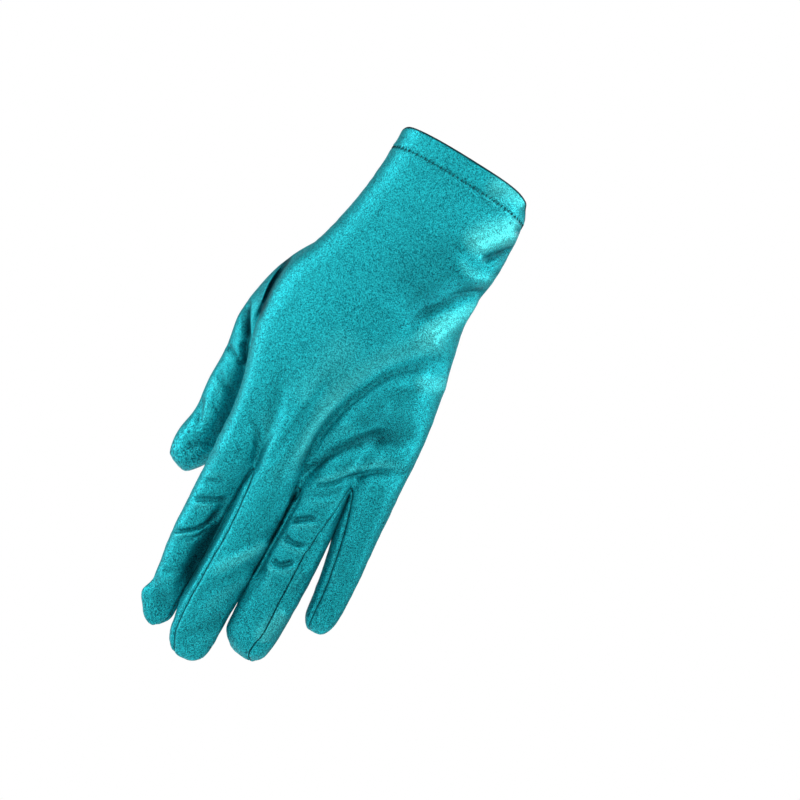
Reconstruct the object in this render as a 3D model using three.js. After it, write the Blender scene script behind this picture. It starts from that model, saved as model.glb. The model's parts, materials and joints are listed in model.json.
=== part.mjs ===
// A short dress glove of stretch satin, for the left hand, holding the shape of the hand that it is worn on.
// It is cut and sewn from a back panel, a palm panel, three fourchettes between the fingers and a set-in
// thumb, and the wrist end is turned in to a folded hem. Every piece is a thin wall of cloth.
// Units are millimetres. +Z runs up the arm, the fingers hang towards -Z, the back of the hand faces -Y
// and the thumb is on the -X side. The origin is the centre of the wrist opening, level with its top edge.

import * as THREE from "three";

// Driving dimensions
const CLOTH_WALL = 1.2;
const HEM_WALL = 2.2;
const SEAM_GAP = 0.3;
const HEM_HEIGHT = 9.2;

// The cloth is laid out as one grid of rows and columns. Each finger takes its own columns of the back
// and the palm, and a fourchette adds the side columns between two fingers.
const HAND_ROWS = 24;
const HEM_ROWS = 2;
const SIDE_COLUMNS = 3;

// Roundness of the sections: 2 is an ellipse, more is squarer.
const HAND_SQUARENESS = 2.5;
const FINGER_SQUARENESS = 2.25;

// The hand between the hem and the finger roots. near is the back of the hand, far is the palm.
const HAND = [
  { z: 6, left: -30.0, right: 30.4, near: -19.5, far: 19.5 },
  { z: -12, left: -30.1, right: 30.6, near: -19.5, far: 19.0 },
  { z: -24, left: -31.2, right: 31.4, near: -19.6, far: 18.0 },
  { z: -38, left: -33.6, right: 30.8, near: -19.8, far: 17.5 },
  { z: -50, left: -36.8, right: 29.0, near: -20.0, far: 17.5 },
  { z: -61, left: -40.6, right: 28.8, near: -20.2, far: 17.5 },
  { z: -71, left: -44.6, right: 30.4, near: -20.2, far: 17.0 },
  { z: -82, left: -46.0, right: 32.6, near: -20.0, far: 16.0 },
  { z: -94, left: -45.8, right: 34.7, near: -19.6, far: 14.5 },
  { z: -106, left: -43.4, right: 36.3, near: -19.0, far: 13.2 },
  { z: -118, left: -39.9, right: 37.2, near: -18.2, far: 12.0 },
  { z: -130, left: -37.9, right: 37.3, near: -17.2, far: 11.0 },
  { z: -142, left: -37.2, right: 37.6, near: -16.0, far: 10.0 },
  { z: -154, left: -36.8, right: 38.2, near: -15.0, far: 9.0 },
];

// The fingers, from the root to the tip. lean is how much a row climbs for each millimetre to the right.
// The last row of each finger is the short ridge where its two faces meet.
const FINGERS = [
  {
    name: "index",
    columns: 8,
    rows: [
      { z: -149.5, left: -37.0, right: -17.2, near: -13.6, far: 8.8, lean: -0.02 },
      { z: -156, left: -36.7, right: -19.7, near: -9.4, far: 9.6, lean: 0 },
      { z: -163, left: -36.6, right: -19.5, near: -7.4, far: 10.2, lean: 0 },
      { z: -170, left: -36.6, right: -19.5, near: -6.0, far: 10.9, lean: 0 },
      { z: -178, left: -36.5, right: -19.6, near: -4.7, far: 11.7, lean: 0 },
      { z: -186, left: -36.3, right: -19.7, near: -3.2, far: 12.6, lean: 0 },
      { z: -194, left: -35.6, right: -19.9, near: -1.6, far: 13.6, lean: 0 },
      { z: -202, left: -34.6, right: -20.0, near: 0.2, far: 14.4, lean: 0 },
      { z: -209, left: -34.0, right: -20.1, near: 2.0, far: 14.8, lean: 0 },
      { z: -215, left: -35.2, right: -20.2, near: 3.8, far: 14.6, lean: 0.03 },
      { z: -220, left: -32.8, right: -21.1, near: 5.8, far: 13.2, lean: 0.05 },
      { z: -224.8, left: -29.0, right: -24.4, near: 9.6, far: 9.6, lean: 0.05 },
    ],
  },
  {
    name: "middle",
    columns: 6,
    rows: [
      { z: -149.7, left: -20.0, right: 2.2, near: -15.2, far: 8.4, lean: 0.06 },
      { z: -156, left: -19.1, right: 0.3, near: -13.2, far: 7.6, lean: 0.02 },
      { z: -163, left: -19.2, right: 0.7, near: -12.4, far: 7.2, lean: 0 },
      { z: -171, left: -19.2, right: 0.8, near: -11.4, far: 7.6, lean: 0 },
      { z: -180, left: -19.3, right: 0.7, near: -10.2, far: 8.2, lean: 0 },
      { z: -189, left: -19.5, right: 0.2, near: -8.8, far: 9.0, lean: 0 },
      { z: -198, left: -19.7, right: 0.1, near: -7.2, far: 9.8, lean: 0 },
      { z: -207, left: -19.8, right: 0.0, near: -5.4, far: 10.6, lean: 0 },
      { z: -215, left: -19.8, right: 0.0, near: -3.4, far: 11.2, lean: 0 },
      { z: -222, left: -18.9, right: -0.2, near: -1.2, far: 11.0, lean: 0.02 },
      { z: -227.4, left: -16.3, right: -1.4, near: 1.2, far: 9.6, lean: 0.05 },
      { z: -231, left: -12.2, right: -5.0, near: 5.4, far: 5.4, lean: 0.05 },
    ],
  },
  {
    name: "ring",
    columns: 6,
    rows: [
      { z: -143.3, left: -0.9, right: 20.9, near: -14.2, far: 8.2, lean: 0.54 },
      { z: -153, left: 0.9, right: 20.2, near: -12.4, far: 7.8, lean: 0.2 },
      { z: -162, left: 1.1, right: 21.4, near: -11.4, far: 7.6, lean: 0.06 },
      { z: -171, left: 1.2, right: 22.1, near: -10.4, far: 8.0, lean: 0 },
      { z: -180, left: 1.2, right: 22.2, near: -9.2, far: 8.8, lean: 0 },
      { z: -189, left: 1.0, right: 22.3, near: -7.8, far: 9.6, lean: 0 },
      { z: -198, left: 0.9, right: 22.2, near: -6.2, far: 10.4, lean: 0 },
      { z: -206, left: 0.9, right: 21.8, near: -4.4, far: 11.2, lean: -0.03 },
      { z: -211.4, left: 1.0, right: 20.9, near: -2.6, far: 11.4, lean: -0.12 },
      { z: -215.2, left: 2.4, right: 19.4, near: -0.2, far: 10.4, lean: -0.22 },
      { z: -218.4, left: 7.0, right: 16.8, near: 5.4, far: 5.4, lean: -0.27 },
    ],
  },
  {
    name: "little",
    columns: 8,
    rows: [
      { z: -136.6, left: 17.9, right: 37.5, near: -12.4, far: 7.4, lean: 0.12 },
      { z: -146, left: 21.1, right: 38.0, near: -10.2, far: 6.8, lean: 0.06 },
      { z: -154, left: 21.6, right: 38.5, near: -8.8, far: 6.6, lean: 0 },
      { z: -162, left: 22.6, right: 39.0, near: -7.6, far: 6.8, lean: 0 },
      { z: -170, left: 23.9, right: 39.5, near: -6.4, far: 7.4, lean: 0 },
      { z: -178, left: 25.2, right: 39.8, near: -5.0, far: 8.0, lean: 0 },
      { z: -186, left: 26.1, right: 39.8, near: -3.4, far: 8.6, lean: 0 },
      { z: -192, left: 27.0, right: 38.7, near: -1.6, far: 8.6, lean: 0 },
      { z: -197.2, left: 31.0, right: 35.8, near: 4.0, far: 4.0, lean: 0 },
    ],
  },
];

// Where the seams run round each finger, as angles from its right side over its back: front seams join the
// back panel, rear seams join the palm panel, and a fourchette fills the arc between the two.
const ROOT_SEAMS = { frontLeft: 148, frontRight: 32, rearRight: -32, rearLeft: -148 };
const SEAMS = {
  index: { frontLeft: 180, frontRight: 28, rearRight: -38, rearLeft: -180 },
  middle: { frontLeft: 134, frontRight: 14, rearRight: -52, rearLeft: -154 },
  ring: { frontLeft: 162, frontRight: 72, rearRight: -8, rearLeft: -124 },
  little: { frontLeft: 120, frontRight: 0, rearRight: 0, rearLeft: -162 },
};
const SEAM_TURN_ROWS = 3;

// The thumb's rings: centre, the way the thumb runs there, and its half width and half depth.
const THUMB = [
  { x: -42.7, y: 24.0, z: -100.0, run: [-0.06, 0.06, -0.99], width: 11.9, depth: 11.0 },
  { x: -42.4, y: 24.2, z: -111.0, run: [0, 0.03, -1], width: 10.3, depth: 10.2 },
  { x: -42.5, y: 24.3, z: -121.0, run: [0, 0.02, -1], width: 10.1, depth: 9.8 },
  { x: -42.6, y: 24.4, z: -131.0, run: [0, 0.02, -1], width: 9.9, depth: 9.4 },
  { x: -42.7, y: 24.6, z: -141.0, run: [-0.03, 0.02, -1], width: 9.0, depth: 8.9 },
  { x: -44.3, y: 24.9, z: -149.5, run: [-0.12, 0.03, -1], width: 9.2, depth: 8.6 },
  { x: -45.5, y: 25.2, z: -156.6, run: [-0.12, 0.03, -1], width: 8.6, depth: 7.4 },
  { x: -46.7, y: 25.4, z: -160.9, run: [-0.12, 0.03, -1], width: 6.4, depth: 5.2 },
];
// Between its hole and its first ring the thumb's cloth sets out this way and swings down in so many rows.
const THUMB_LEAVES = [-0.56, 0.62, -0.54];
const THUMB_BASE_ROWS = 4;
const THUMB_START = 1;
const THUMB_TIP = { x: -47.9, y: 25.5, z: -163.8, halfWidth: 4.4, lean: -0.36 };

// The main folds on the back of the glove, as valleys (below 0) and ridges (above 0) along curves of [x, z].
const FOLDS = [
  { name: "drag from the middle crotch", depth: -2.0, spread: 5.0, path: [[-1, -148], [-3, -128], [1, -110], [12, -88], [31, -78]] },
  { name: "ridge beside that drag", depth: 1.3, spread: 5.5, path: [[9, -106], [18, -96], [30, -90]] },
  { name: "drag to the little side", depth: -1.4, spread: 4.4, path: [[2, -146], [4, -131], [15, -119.5], [31, -109]] },
  { name: "drag over the ring crotch", depth: -1.2, spread: 4.2, path: [[3, -146], [13, -138.5], [22, -128.5], [36, -123.5]] },
  { name: "ridge over the ring crotch", depth: 0.9, spread: 4.4, path: [[12, -132], [22, -124], [36, -117.5]] },
  { name: "drag from the index crotch", depth: -1.2, spread: 4.4, path: [[-18.5, -151], [-23, -139.5], [-31, -130]] },
  { name: "ridge of the middle knuckle", depth: 1.3, spread: 6.0, path: [[-13.5, -152], [-11, -131], [-8, -112]] },
  { name: "wrist dent", depth: -1.6, spread: 5.0, path: [[17, -35], [24, -29.5], [32, -23]] },
  { name: "side crease", depth: -1.7, spread: 4.8, path: [[11, -69], [16, -60], [29, -46]] },
  { name: "side puff", depth: 1.6, spread: 6.5, path: [[18, -75], [22, -65], [27, -57]] },
];
const FOLD_SAMPLES = 100;
const FOLD_END_FADE = 0.18;

const SATIN = { color: 0x0f9ba1, roughness: 0.42, metalness: 0.35 };
const SATIN_INSIDE = { color: 0x0c8288, roughness: 0.55, metalness: 0.2 };

const radians = THREE.MathUtils.degToRad;
const lerp = THREE.MathUtils.lerp;
const smooth = (t) => THREE.MathUtils.smoothstep(t, 0, 1);

// A row of the table at height z, each column on a smooth curve through the rows.
function stationAt(table, z) {
  let i = 0;
  while (i < table.length - 2 && z < table[i + 1].z) i += 1;
  const [a, b] = [table[i], table[i + 1]];
  const before = table[Math.max(i - 1, 0)];
  const after = table[Math.min(i + 2, table.length - 1)];
  const t = (z - a.z) / (b.z - a.z);
  const station = { z };
  for (const key of Object.keys(a).filter((name) => name !== "z")) {
    const slopeA = ((b[key] - before[key]) / (b.z - before.z)) * (b.z - a.z);
    const slopeB = ((after[key] - a[key]) / (after.z - a.z)) * (b.z - a.z);
    station[key] =
      (2 * t ** 3 - 3 * t ** 2 + 1) * a[key] +
      (t ** 3 - 2 * t ** 2 + t) * slopeA +
      (-2 * t ** 3 + 3 * t ** 2) * b[key] +
      (t ** 3 - t ** 2) * slopeB;
  }
  return station;
}

// A point of a rounded section. 0 degrees is its right side, 90 the back of the hand, 180 its left side.
function sectionPoint(station, degrees, squareness) {
  const power = 2 / squareness;
  const round = (value) => Math.sign(value) * Math.abs(value) ** power;
  const across = round(Math.cos(radians(degrees)));
  const out = round(Math.sin(radians(degrees)));
  const halfWidth = (station.right - station.left) / 2;
  const x = (station.left + station.right) / 2 + across * halfWidth;
  const y = (station.near + station.far) / 2 - (out * (station.far - station.near)) / 2;
  return new THREE.Vector3(x, y, station.z + (station.lean ?? 0) * across * halfWidth);
}

// The cloth: points shared by all pieces, and faces that each belong to one piece.
const points = [];
const faces = [];

function addPoint(point) {
  points.push(point);
  return points.length - 1;
}

function addFace(piece, ...corners) {
  const distinct = corners.filter((corner, i) => corner !== corners[(i + 1) % corners.length]);
  if (distinct.length > 2) faces.push({ piece, corners: distinct });
}

// Two strings of points, joined by faces that look outwards.
function addStrip(piece, upper, lower) {
  for (let i = 0; i + 1 < upper.length; i += 1) {
    addFace(piece, upper[i], lower[i], lower[i + 1], upper[i + 1]);
  }
}

// The angle of each column on the hand's section, so that the crotches fall between the fingers.
const COLUMNS = FINGERS.reduce((total, finger) => total + finger.columns, 0);
const FINGER_START = FINGERS.map((_, i) =>
  FINGERS.slice(0, i).reduce((total, finger) => total + finger.columns, 0),
);
const COLUMN_ANGLES = [180, 119, 90, 60, 0];

function columnAngle(column) {
  const stops = [...FINGER_START, COLUMNS];
  let i = 0;
  while (i < stops.length - 2 && column > stops[i + 1]) i += 1;
  const t = (column - stops[i]) / (stops[i + 1] - stops[i]);
  return lerp(COLUMN_ANGLES[i], COLUMN_ANGLES[i + 1], t);
}

// The hem's stitch line lies on a slightly tilted plane, and its edge dips at the little-finger side seam.
const STITCH_LINE = { level: -13.1, alongX: -0.067, alongY: -0.135 };
const HEM_DIP = { depth: 7.0, degrees: 30 };
const HEM_CORNER_DIP = { depth: 1.8, degrees: 16 };
const HALF_TURN = 180;

function stitchHeight(x, y) {
  return STITCH_LINE.level + STITCH_LINE.alongX * x + STITCH_LINE.alongY * y;
}

function hemHeight(degrees) {
  const dip = HEM_DIP.depth * Math.exp(-((degrees / HEM_DIP.degrees) ** 2));
  const fromCorner = HALF_TURN - Math.abs(degrees);
  const corner = HEM_CORNER_DIP.depth * Math.exp(-((fromCorner / HEM_CORNER_DIP.degrees) ** 2));
  return HEM_HEIGHT - dip - corner;
}

// The angles of a finger's columns on one row, with the seams turning from the root to their own places.
function seamAngles(finger, row) {
  const turn = smooth(row / SEAM_TURN_ROWS);
  const own = SEAMS[finger.name];
  const root = { ...ROOT_SEAMS };
  if (finger.name === "index") Object.assign(root, { frontLeft: 180, rearLeft: -180 });
  if (finger.name === "little") Object.assign(root, { frontRight: 0, rearRight: 0 });
  const angles = {};
  for (const key of Object.keys(own)) angles[key] = lerp(root[key], own[key], turn);
  return angles;
}

function fingerPoint(finger, row, degrees) {
  return sectionPoint(finger.rows[row], degrees, FINGER_SQUARENESS);
}

// The crotch row: the lowest row of the hand and the first row of every finger.
function crotchRow(side) {
  const row = new Array(COLUMNS + 1);
  FINGERS.forEach((finger, f) => {
    const seams = seamAngles(finger, 0);
    const [from, to] =
      side === "back" ? [seams.frontLeft, seams.frontRight] : [seams.rearLeft, seams.rearRight];
    for (let c = 0; c <= finger.columns; c += 1) {
      const point = fingerPoint(finger, 0, lerp(from, to, c / finger.columns));
      const column = FINGER_START[f] + c;
      if (row[column]) row[column].lerp(point, 0.5);
      else row[column] = point;
    }
  });
  return row;
}

// A point of the hand between the stitch line (share 0) and the crotch row (share 1).
const KNUCKLE_BLEND_FROM = 0.62;

function handPoint(column, side, share, crotch) {
  const sign = side === "back" ? 1 : -1;
  const angle = sign * columnAngle(column);
  const whole = Math.min(Math.floor(column), COLUMNS - 1);
  const target = crotch[whole].clone().lerp(crotch[whole + 1], column - whole);
  const wrist = sectionPoint(stationAt(HAND, STITCH_LINE.level), angle, HAND_SQUARENESS);
  const z = lerp(stitchHeight(wrist.x, wrist.y), target.z, share);
  const point = sectionPoint(stationAt(HAND, z), angle, HAND_SQUARENESS);
  const blend = smooth((share - KNUCKLE_BLEND_FROM) / (1 - KNUCKLE_BLEND_FROM));
  const root = sectionPoint(stationAt(HAND, target.z), angle, HAND_SQUARENESS);
  point.x += blend * (target.x - root.x);
  point.y += blend * (target.y - root.y);
  return point;
}

// The thumb leaves a hole in the palm panel, counted in columns from the index side and rows from the hem.
// Its corners are rounded by drawing the grid round them together.
const THUMB_HOLE = { firstColumn: 1, lastColumn: 6, firstRow: 7, lastRow: 15, squareness: 2.4, reach: 0.6 };

function roundThumbHole(row, column) {
  const middleRow = (THUMB_HOLE.firstRow + THUMB_HOLE.lastRow) / 2;
  const middleColumn = (THUMB_HOLE.firstColumn + THUMB_HOLE.lastColumn) / 2;
  const v = (row - middleRow) / (THUMB_HOLE.lastRow - middleRow);
  const u = (column - middleColumn) / (THUMB_HOLE.lastColumn - middleColumn);
  const out = Math.max(Math.abs(u), Math.abs(v));
  const power = THUMB_HOLE.squareness;
  const round = out / (Math.abs(u) ** power + Math.abs(v) ** power) ** (1 / power);
  const factor = out > 0 ? lerp(round, 1, smooth((out - 1) / THUMB_HOLE.reach)) : 1;
  return {
    row: middleRow + (row - middleRow) * factor,
    column: middleColumn + (column - middleColumn) * factor,
  };
}

// Lay out the hand: each row is a string of points over the back and another over the palm, which share
// the two side seams.
const crotches = { back: crotchRow("back"), palm: crotchRow("palm") };
const handRows = [];
for (let r = 0; r <= HAND_ROWS; r += 1) {
  const row = { back: [], palm: [] };
  for (let c = 0; c <= COLUMNS; c += 1) {
    row.back.push(addPoint(handPoint(c, "back", r / HAND_ROWS, crotches.back)));
    if (c === 0 || c === COLUMNS) {
      row.palm.push(row.back[c]);
    } else {
      const place = roundThumbHole(r, c);
      row.palm.push(addPoint(handPoint(place.column, "palm", place.row / HAND_ROWS, crotches.palm)));
    }
  }
  handRows.push(row);
}

function insideThumbHole(row, column) {
  const inRows = row >= THUMB_HOLE.firstRow && row < THUMB_HOLE.lastRow;
  return inRows && column >= THUMB_HOLE.firstColumn && column < THUMB_HOLE.lastColumn;
}

for (let r = 0; r < HAND_ROWS; r += 1) {
  const [upper, lower] = [handRows[r], handRows[r + 1]];
  addStrip("back_panel", upper.back, lower.back);
  for (let c = 0; c < COLUMNS; c += 1) {
    if (insideThumbHole(r, c)) continue;
    addStrip("palm_panel", [upper.palm[c + 1], upper.palm[c]], [lower.palm[c + 1], lower.palm[c]]);
  }
}

// The webs: a short string of points between the back and the palm at each crotch, shared by two fingers.
const crotchPoints = handRows[HAND_ROWS];
const webs = FINGERS.slice(1).map((_, i) => {
  const column = FINGER_START[i + 1];
  const back = points[crotchPoints.back[column]];
  const palm = points[crotchPoints.palm[column]];
  const web = [crotchPoints.back[column]];
  for (let s = 1; s < SIDE_COLUMNS; s += 1) {
    web.push(addPoint(back.clone().lerp(palm, s / SIDE_COLUMNS)));
  }
  web.push(crotchPoints.palm[column]);
  return web;
});

// A finger's ring of points at one row, as four strings: back, right side, palm and left side.
function fingerRing(finger, f, row) {
  const first = FINGER_START[f];
  const last = first + finger.columns;
  if (row === 0) {
    const back = crotchPoints.back.slice(first, last + 1);
    const palm = crotchPoints.palm.slice(first, last + 1);
    const right = webs[f] ?? [back.at(-1), palm.at(-1)];
    const left = f > 0 ? [...webs[f - 1]] : [back[0], palm[0]];
    return { back, right, palm, left };
  }
  const station = finger.rows[row];
  if (row === finger.rows.length - 1) {
    const middle = (station.left + station.right) / 2;
    const ridge = [];
    for (let c = 0; c <= finger.columns; c += 1) {
      const x = lerp(station.left, station.right, c / finger.columns);
      ridge.push(addPoint(new THREE.Vector3(x, station.near, station.z + station.lean * (x - middle))));
    }
    const [end, start] = [ridge.at(-1), ridge[0]];
    const sides = SIDE_COLUMNS + 1;
    return { back: ridge, right: Array(sides).fill(end), palm: ridge, left: Array(sides).fill(start) };
  }
  const seams = seamAngles(finger, row);
  const arc = (from, to, count) => {
    const string = [];
    for (let i = 0; i <= count; i += 1) string.push(fingerPoint(finger, row, lerp(from, to, i / count)));
    return string;
  };
  const back = arc(seams.frontLeft, seams.frontRight, finger.columns).map(addPoint);
  const palmPoints = arc(seams.rearLeft, seams.rearRight, finger.columns);
  const sharesLeft = f === 0;
  const sharesRight = f === FINGERS.length - 1;
  const palm = palmPoints.map((point, i) => {
    if (i === 0 && sharesLeft) return back[0];
    if (i === palmPoints.length - 1 && sharesRight) return back.at(-1);
    return addPoint(point);
  });
  const side = (from, to, start, end) => {
    const between = arc(from, to, SIDE_COLUMNS).slice(1, -1).map(addPoint);
    return [start, ...between, end];
  };
  const right = sharesRight ? [back.at(-1), palm.at(-1)] : side(seams.frontRight, seams.rearRight, back.at(-1), palm.at(-1));
  const left = sharesLeft ? [back[0], palm[0]] : side(seams.frontLeft, seams.rearLeft + 360, back[0], palm[0]);
  return { back, right, palm, left };
}

const FOURCHETTES = ["fourchette_index_middle", "fourchette_middle_ring", "fourchette_ring_little"];

FINGERS.forEach((finger, f) => {
  let upper = fingerRing(finger, f, 0);
  for (let r = 1; r < finger.rows.length; r += 1) {
    const lower = fingerRing(finger, f, r);
    addStrip("back_panel", upper.back, lower.back);
    addStrip("palm_panel", [...upper.palm].reverse(), [...lower.palm].reverse());
    if (f < FOURCHETTES.length) addStrip(FOURCHETTES[f], upper.right, lower.right);
    if (f > 0) addStrip(FOURCHETTES[f - 1], [...upper.left].reverse(), [...lower.left].reverse());
    upper = lower;
  }
});

// The thumb starts at the edge of its hole, read round the hole as seen from outside the palm.
function thumbHoleEdge() {
  const { firstColumn, lastColumn, firstRow, lastRow } = THUMB_HOLE;
  const edge = [];
  for (let c = firstColumn; c < lastColumn; c += 1) edge.push(handRows[firstRow].palm[c]);
  for (let r = firstRow; r < lastRow; r += 1) edge.push(handRows[r].palm[lastColumn]);
  for (let c = lastColumn; c > firstColumn; c -= 1) edge.push(handRows[lastRow].palm[c]);
  for (let r = lastRow; r > firstRow; r -= 1) edge.push(handRows[r].palm[firstColumn]);
  return edge;
}

// One ring of the thumb. Its points start just past its left side, as the hole's edge does.
function thumbRing(ring, count) {
  const run = new THREE.Vector3(...ring.run).normalize();
  const across = new THREE.Vector3(1, 0, 0).addScaledVector(run, -run.x).normalize();
  const out = new THREE.Vector3().crossVectors(run, across);
  const string = [];
  for (let i = 0; i < count; i += 1) {
    const angle = Math.PI + (2 * Math.PI * (i + THUMB_START)) / count;
    const point = new THREE.Vector3(ring.x, ring.y, ring.z);
    point.addScaledVector(across, ring.width * Math.cos(angle));
    point.addScaledVector(out, ring.depth * Math.sin(angle));
    string.push(point);
  }
  return string;
}

const thumbEdge = thumbHoleEdge();
const thumbCount = thumbEdge.length;
const thumbRings = THUMB.map((ring) => thumbRing(ring, thumbCount));

// A point on the way from the hole's edge to the first ring, on a smooth curve.
function thumbBasePoint(i, share) {
  const [start, end] = [points[thumbEdge[i]], thumbRings[0][i]];
  const reach = start.distanceTo(end);
  const leaves = new THREE.Vector3(...THUMB_LEAVES).normalize().multiplyScalar(reach);
  const arrives = new THREE.Vector3(...THUMB[0].run).normalize().multiplyScalar(reach);
  const weights = [
    2 * share ** 3 - 3 * share ** 2 + 1,
    share ** 3 - 2 * share ** 2 + share,
    -2 * share ** 3 + 3 * share ** 2,
    share ** 3 - share ** 2,
  ];
  const point = new THREE.Vector3();
  [start, leaves, end, arrives].forEach((part, k) => point.addScaledVector(part, weights[k]));
  return point;
}

let thumbUpper = thumbEdge;
const thumbBaseRows = [];
for (let r = 1; r < THUMB_BASE_ROWS; r += 1) {
  thumbBaseRows.push(thumbEdge.map((_, i) => thumbBasePoint(i, r / THUMB_BASE_ROWS)));
}
for (const ring of [...thumbBaseRows, ...thumbRings]) {
  const lower = ring.map(addPoint);
  addStrip("thumb", [thumbUpper[0], ...[...thumbUpper].reverse()], [lower[0], ...[...lower].reverse()]);
  thumbUpper = lower;
}

// The thumb's last ring closes on a short ridge, which its near half and its far half share.
const half = thumbCount / 2;
const ridgePoints = new Map();
const thumbTip = thumbUpper.map((_, i) => {
  const step = (i + THUMB_START) % thumbCount;
  const slot = Math.min(step, thumbCount - step);
  if (!ridgePoints.has(slot)) {
    const across = -Math.cos((Math.PI * slot) / half) * THUMB_TIP.halfWidth;
    const z = THUMB_TIP.z + THUMB_TIP.lean * across;
    ridgePoints.set(slot, addPoint(new THREE.Vector3(THUMB_TIP.x + across, THUMB_TIP.y, z)));
  }
  return ridgePoints.get(slot);
});
addStrip("thumb", [thumbUpper[0], ...thumbUpper.reverse()], [thumbTip[0], ...thumbTip.reverse()]);

// The hem stands on the first row of the hand and has the same columns.
const hemAngles = [];
for (let c = 0; c < COLUMNS; c += 1) hemAngles.push({ angle: columnAngle(c), base: handRows[0].back[c] });
for (let c = COLUMNS; c > 0; c -= 1) hemAngles.push({ angle: -columnAngle(c), base: handRows[0].palm[c] });
let hemLower = hemAngles.map(({ base }) => base);
for (let r = 1; r <= HEM_ROWS; r += 1) {
  const upper = hemAngles.map(({ angle, base }) => {
    const z = points[base].z + (hemHeight(angle) * r) / HEM_ROWS;
    const point = sectionPoint(stationAt(HAND, z), angle, HAND_SQUARENESS);
    return addPoint(point.setZ(z));
  });
  addStrip("cuff_hem", [...upper, upper[0]], [...hemLower, hemLower[0]]);
  hemLower = upper;
}

// Outward direction at every point. Each piece that meets there counts the same, however large its faces are.
function outwardDirections() {
  const shares = points.map(() => new Map());
  for (const { piece, corners } of faces) {
    const [a, b, c, d] = [...corners, corners[0]].map((corner) => points[corner]);
    const normal = new THREE.Vector3().crossVectors(c.clone().sub(a), d.clone().sub(b));
    if (corners.length === 3) normal.crossVectors(b.clone().sub(a), c.clone().sub(a));
    const unit = normal.normalize();
    for (const corner of corners) {
      if (!shares[corner].has(piece)) shares[corner].set(piece, new THREE.Vector3());
      shares[corner].get(piece).add(unit);
    }
  }
  return shares.map((share) => {
    const direction = new THREE.Vector3();
    for (const normal of share.values()) direction.add(normal.normalize());
    return direction.normalize();
  });
}

// How far the folds lift or sink the cloth at a point on the back of the glove.
const foldCurves = FOLDS.map(({ path, ...fold }) => {
  const curve = new THREE.SplineCurve(path.map(([x, z]) => new THREE.Vector2(x, z)));
  return { ...fold, samples: curve.getPoints(FOLD_SAMPLES) };
});

function foldLift(x, z) {
  let lift = 0;
  for (const { depth, spread, samples } of foldCurves) {
    const distances = samples.map((sample) => Math.hypot(sample.x - x, sample.y - z));
    const nearest = Math.min(...distances);
    const along = distances.indexOf(nearest) / FOLD_SAMPLES;
    const fade = smooth(Math.min(along, 1 - along) / FOLD_END_FADE + 0.35);
    lift += depth * fade * Math.exp(-((nearest / spread) ** 2));
  }
  return lift;
}

const onBack = new Set(faces.filter(({ piece }) => piece === "back_panel").flatMap(({ corners }) => corners));
const flatDirections = outwardDirections();
points.forEach((point, i) => {
  const facing = Math.max(-flatDirections[i].y, 0);
  if (onBack.has(i)) point.addScaledVector(flatDirections[i], foldLift(point.x, point.z) * smooth(facing * 1.6));
});

// One piece as a closed solid: its outer faces, the same faces one wall further in, and the cut edges. The
// cut edges draw back by half the seam gap, so that neighbouring pieces stay clear of each other.
function pieceGeometry(piece, wall, directions) {
  const own = faces.filter((face) => face.piece === piece);
  const edges = new Map();
  for (const { corners } of own) {
    corners.forEach((from, i) => {
      const to = corners[(i + 1) % corners.length];
      edges.set(`${from} ${to}`, { from, to });
    });
  }
  const cutEdges = [...edges.values()].filter(({ from, to }) => !edges.has(`${to} ${from}`));
  const intoPiece = new Map(cutEdges.map(({ from }) => [from, new THREE.Vector3()]));
  for (const { from, to } of edges.values()) {
    if (edges.has(`${to} ${from}`) && intoPiece.has(from)) {
      intoPiece.get(from).add(points[to].clone().sub(points[from]).normalize());
    }
  }
  const numbers = new Map();
  const positions = [];
  for (const corner of new Set(own.flatMap(({ corners }) => corners))) {
    numbers.set(corner, numbers.size);
    const outer = points[corner].clone();
    if (intoPiece.has(corner)) outer.addScaledVector(intoPiece.get(corner).normalize(), SEAM_GAP / 2);
    const inner = outer.clone().addScaledVector(directions[corner], -wall);
    positions.push(outer, inner);
  }
  const outerOf = (corner) => numbers.get(corner) * 2;
  const innerOf = (corner) => numbers.get(corner) * 2 + 1;
  const index = [];
  for (const { corners } of own) {
    for (let i = 1; i + 1 < corners.length; i += 1) {
      const triangle = [corners[0], corners[i], corners[i + 1]];
      index.push(...triangle.map(outerOf), ...triangle.reverse().map(innerOf));
    }
  }
  for (const { from, to } of cutEdges) {
    if (from < to) {
      index.push(outerOf(to), outerOf(from), innerOf(to), outerOf(from), innerOf(from), innerOf(to));
    } else {
      index.push(outerOf(to), outerOf(from), innerOf(from), outerOf(to), innerOf(from), innerOf(to));
    }
  }
  const geometry = new THREE.BufferGeometry().setFromPoints(positions);
  return geometry.setIndex(index);
}

// The glove
const glove = new THREE.Group();
const directions = outwardDirections();
const PIECES = [
  { name: "back_panel", wall: CLOTH_WALL, look: SATIN },
  { name: "palm_panel", wall: CLOTH_WALL, look: SATIN },
  ...FOURCHETTES.map((name) => ({ name, wall: CLOTH_WALL, look: SATIN })),
  { name: "thumb", wall: CLOTH_WALL, look: SATIN },
  { name: "cuff_hem", wall: HEM_WALL, look: SATIN_INSIDE },
];
for (const { name, wall, look } of PIECES) {
  const mesh = new THREE.Mesh(pieceGeometry(name, wall, directions), new THREE.MeshStandardMaterial(look));
  mesh.name = name;
  glove.add(mesh);
}

export default glove;
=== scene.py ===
# %% [markdown]
# # A satin dress glove
# The real object is a short glove of stretch satin: a back and a palm cut in one piece each, three
# narrow side strips (fourchettes) between the fingers, a set-in thumb and a wrist edge that is
# folded in and stitched. The packed CAD model gives every panel its place, as a stiff shell of
# coarse facets. This lesson takes the outer face of those shells, rounds it off, presses the folds
# and the seams into it and gives it a cloth wall. Lengths are written in millimetres and turned
# into metres with MM.

# %% Tools and the packed frame
import json
import math

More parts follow.
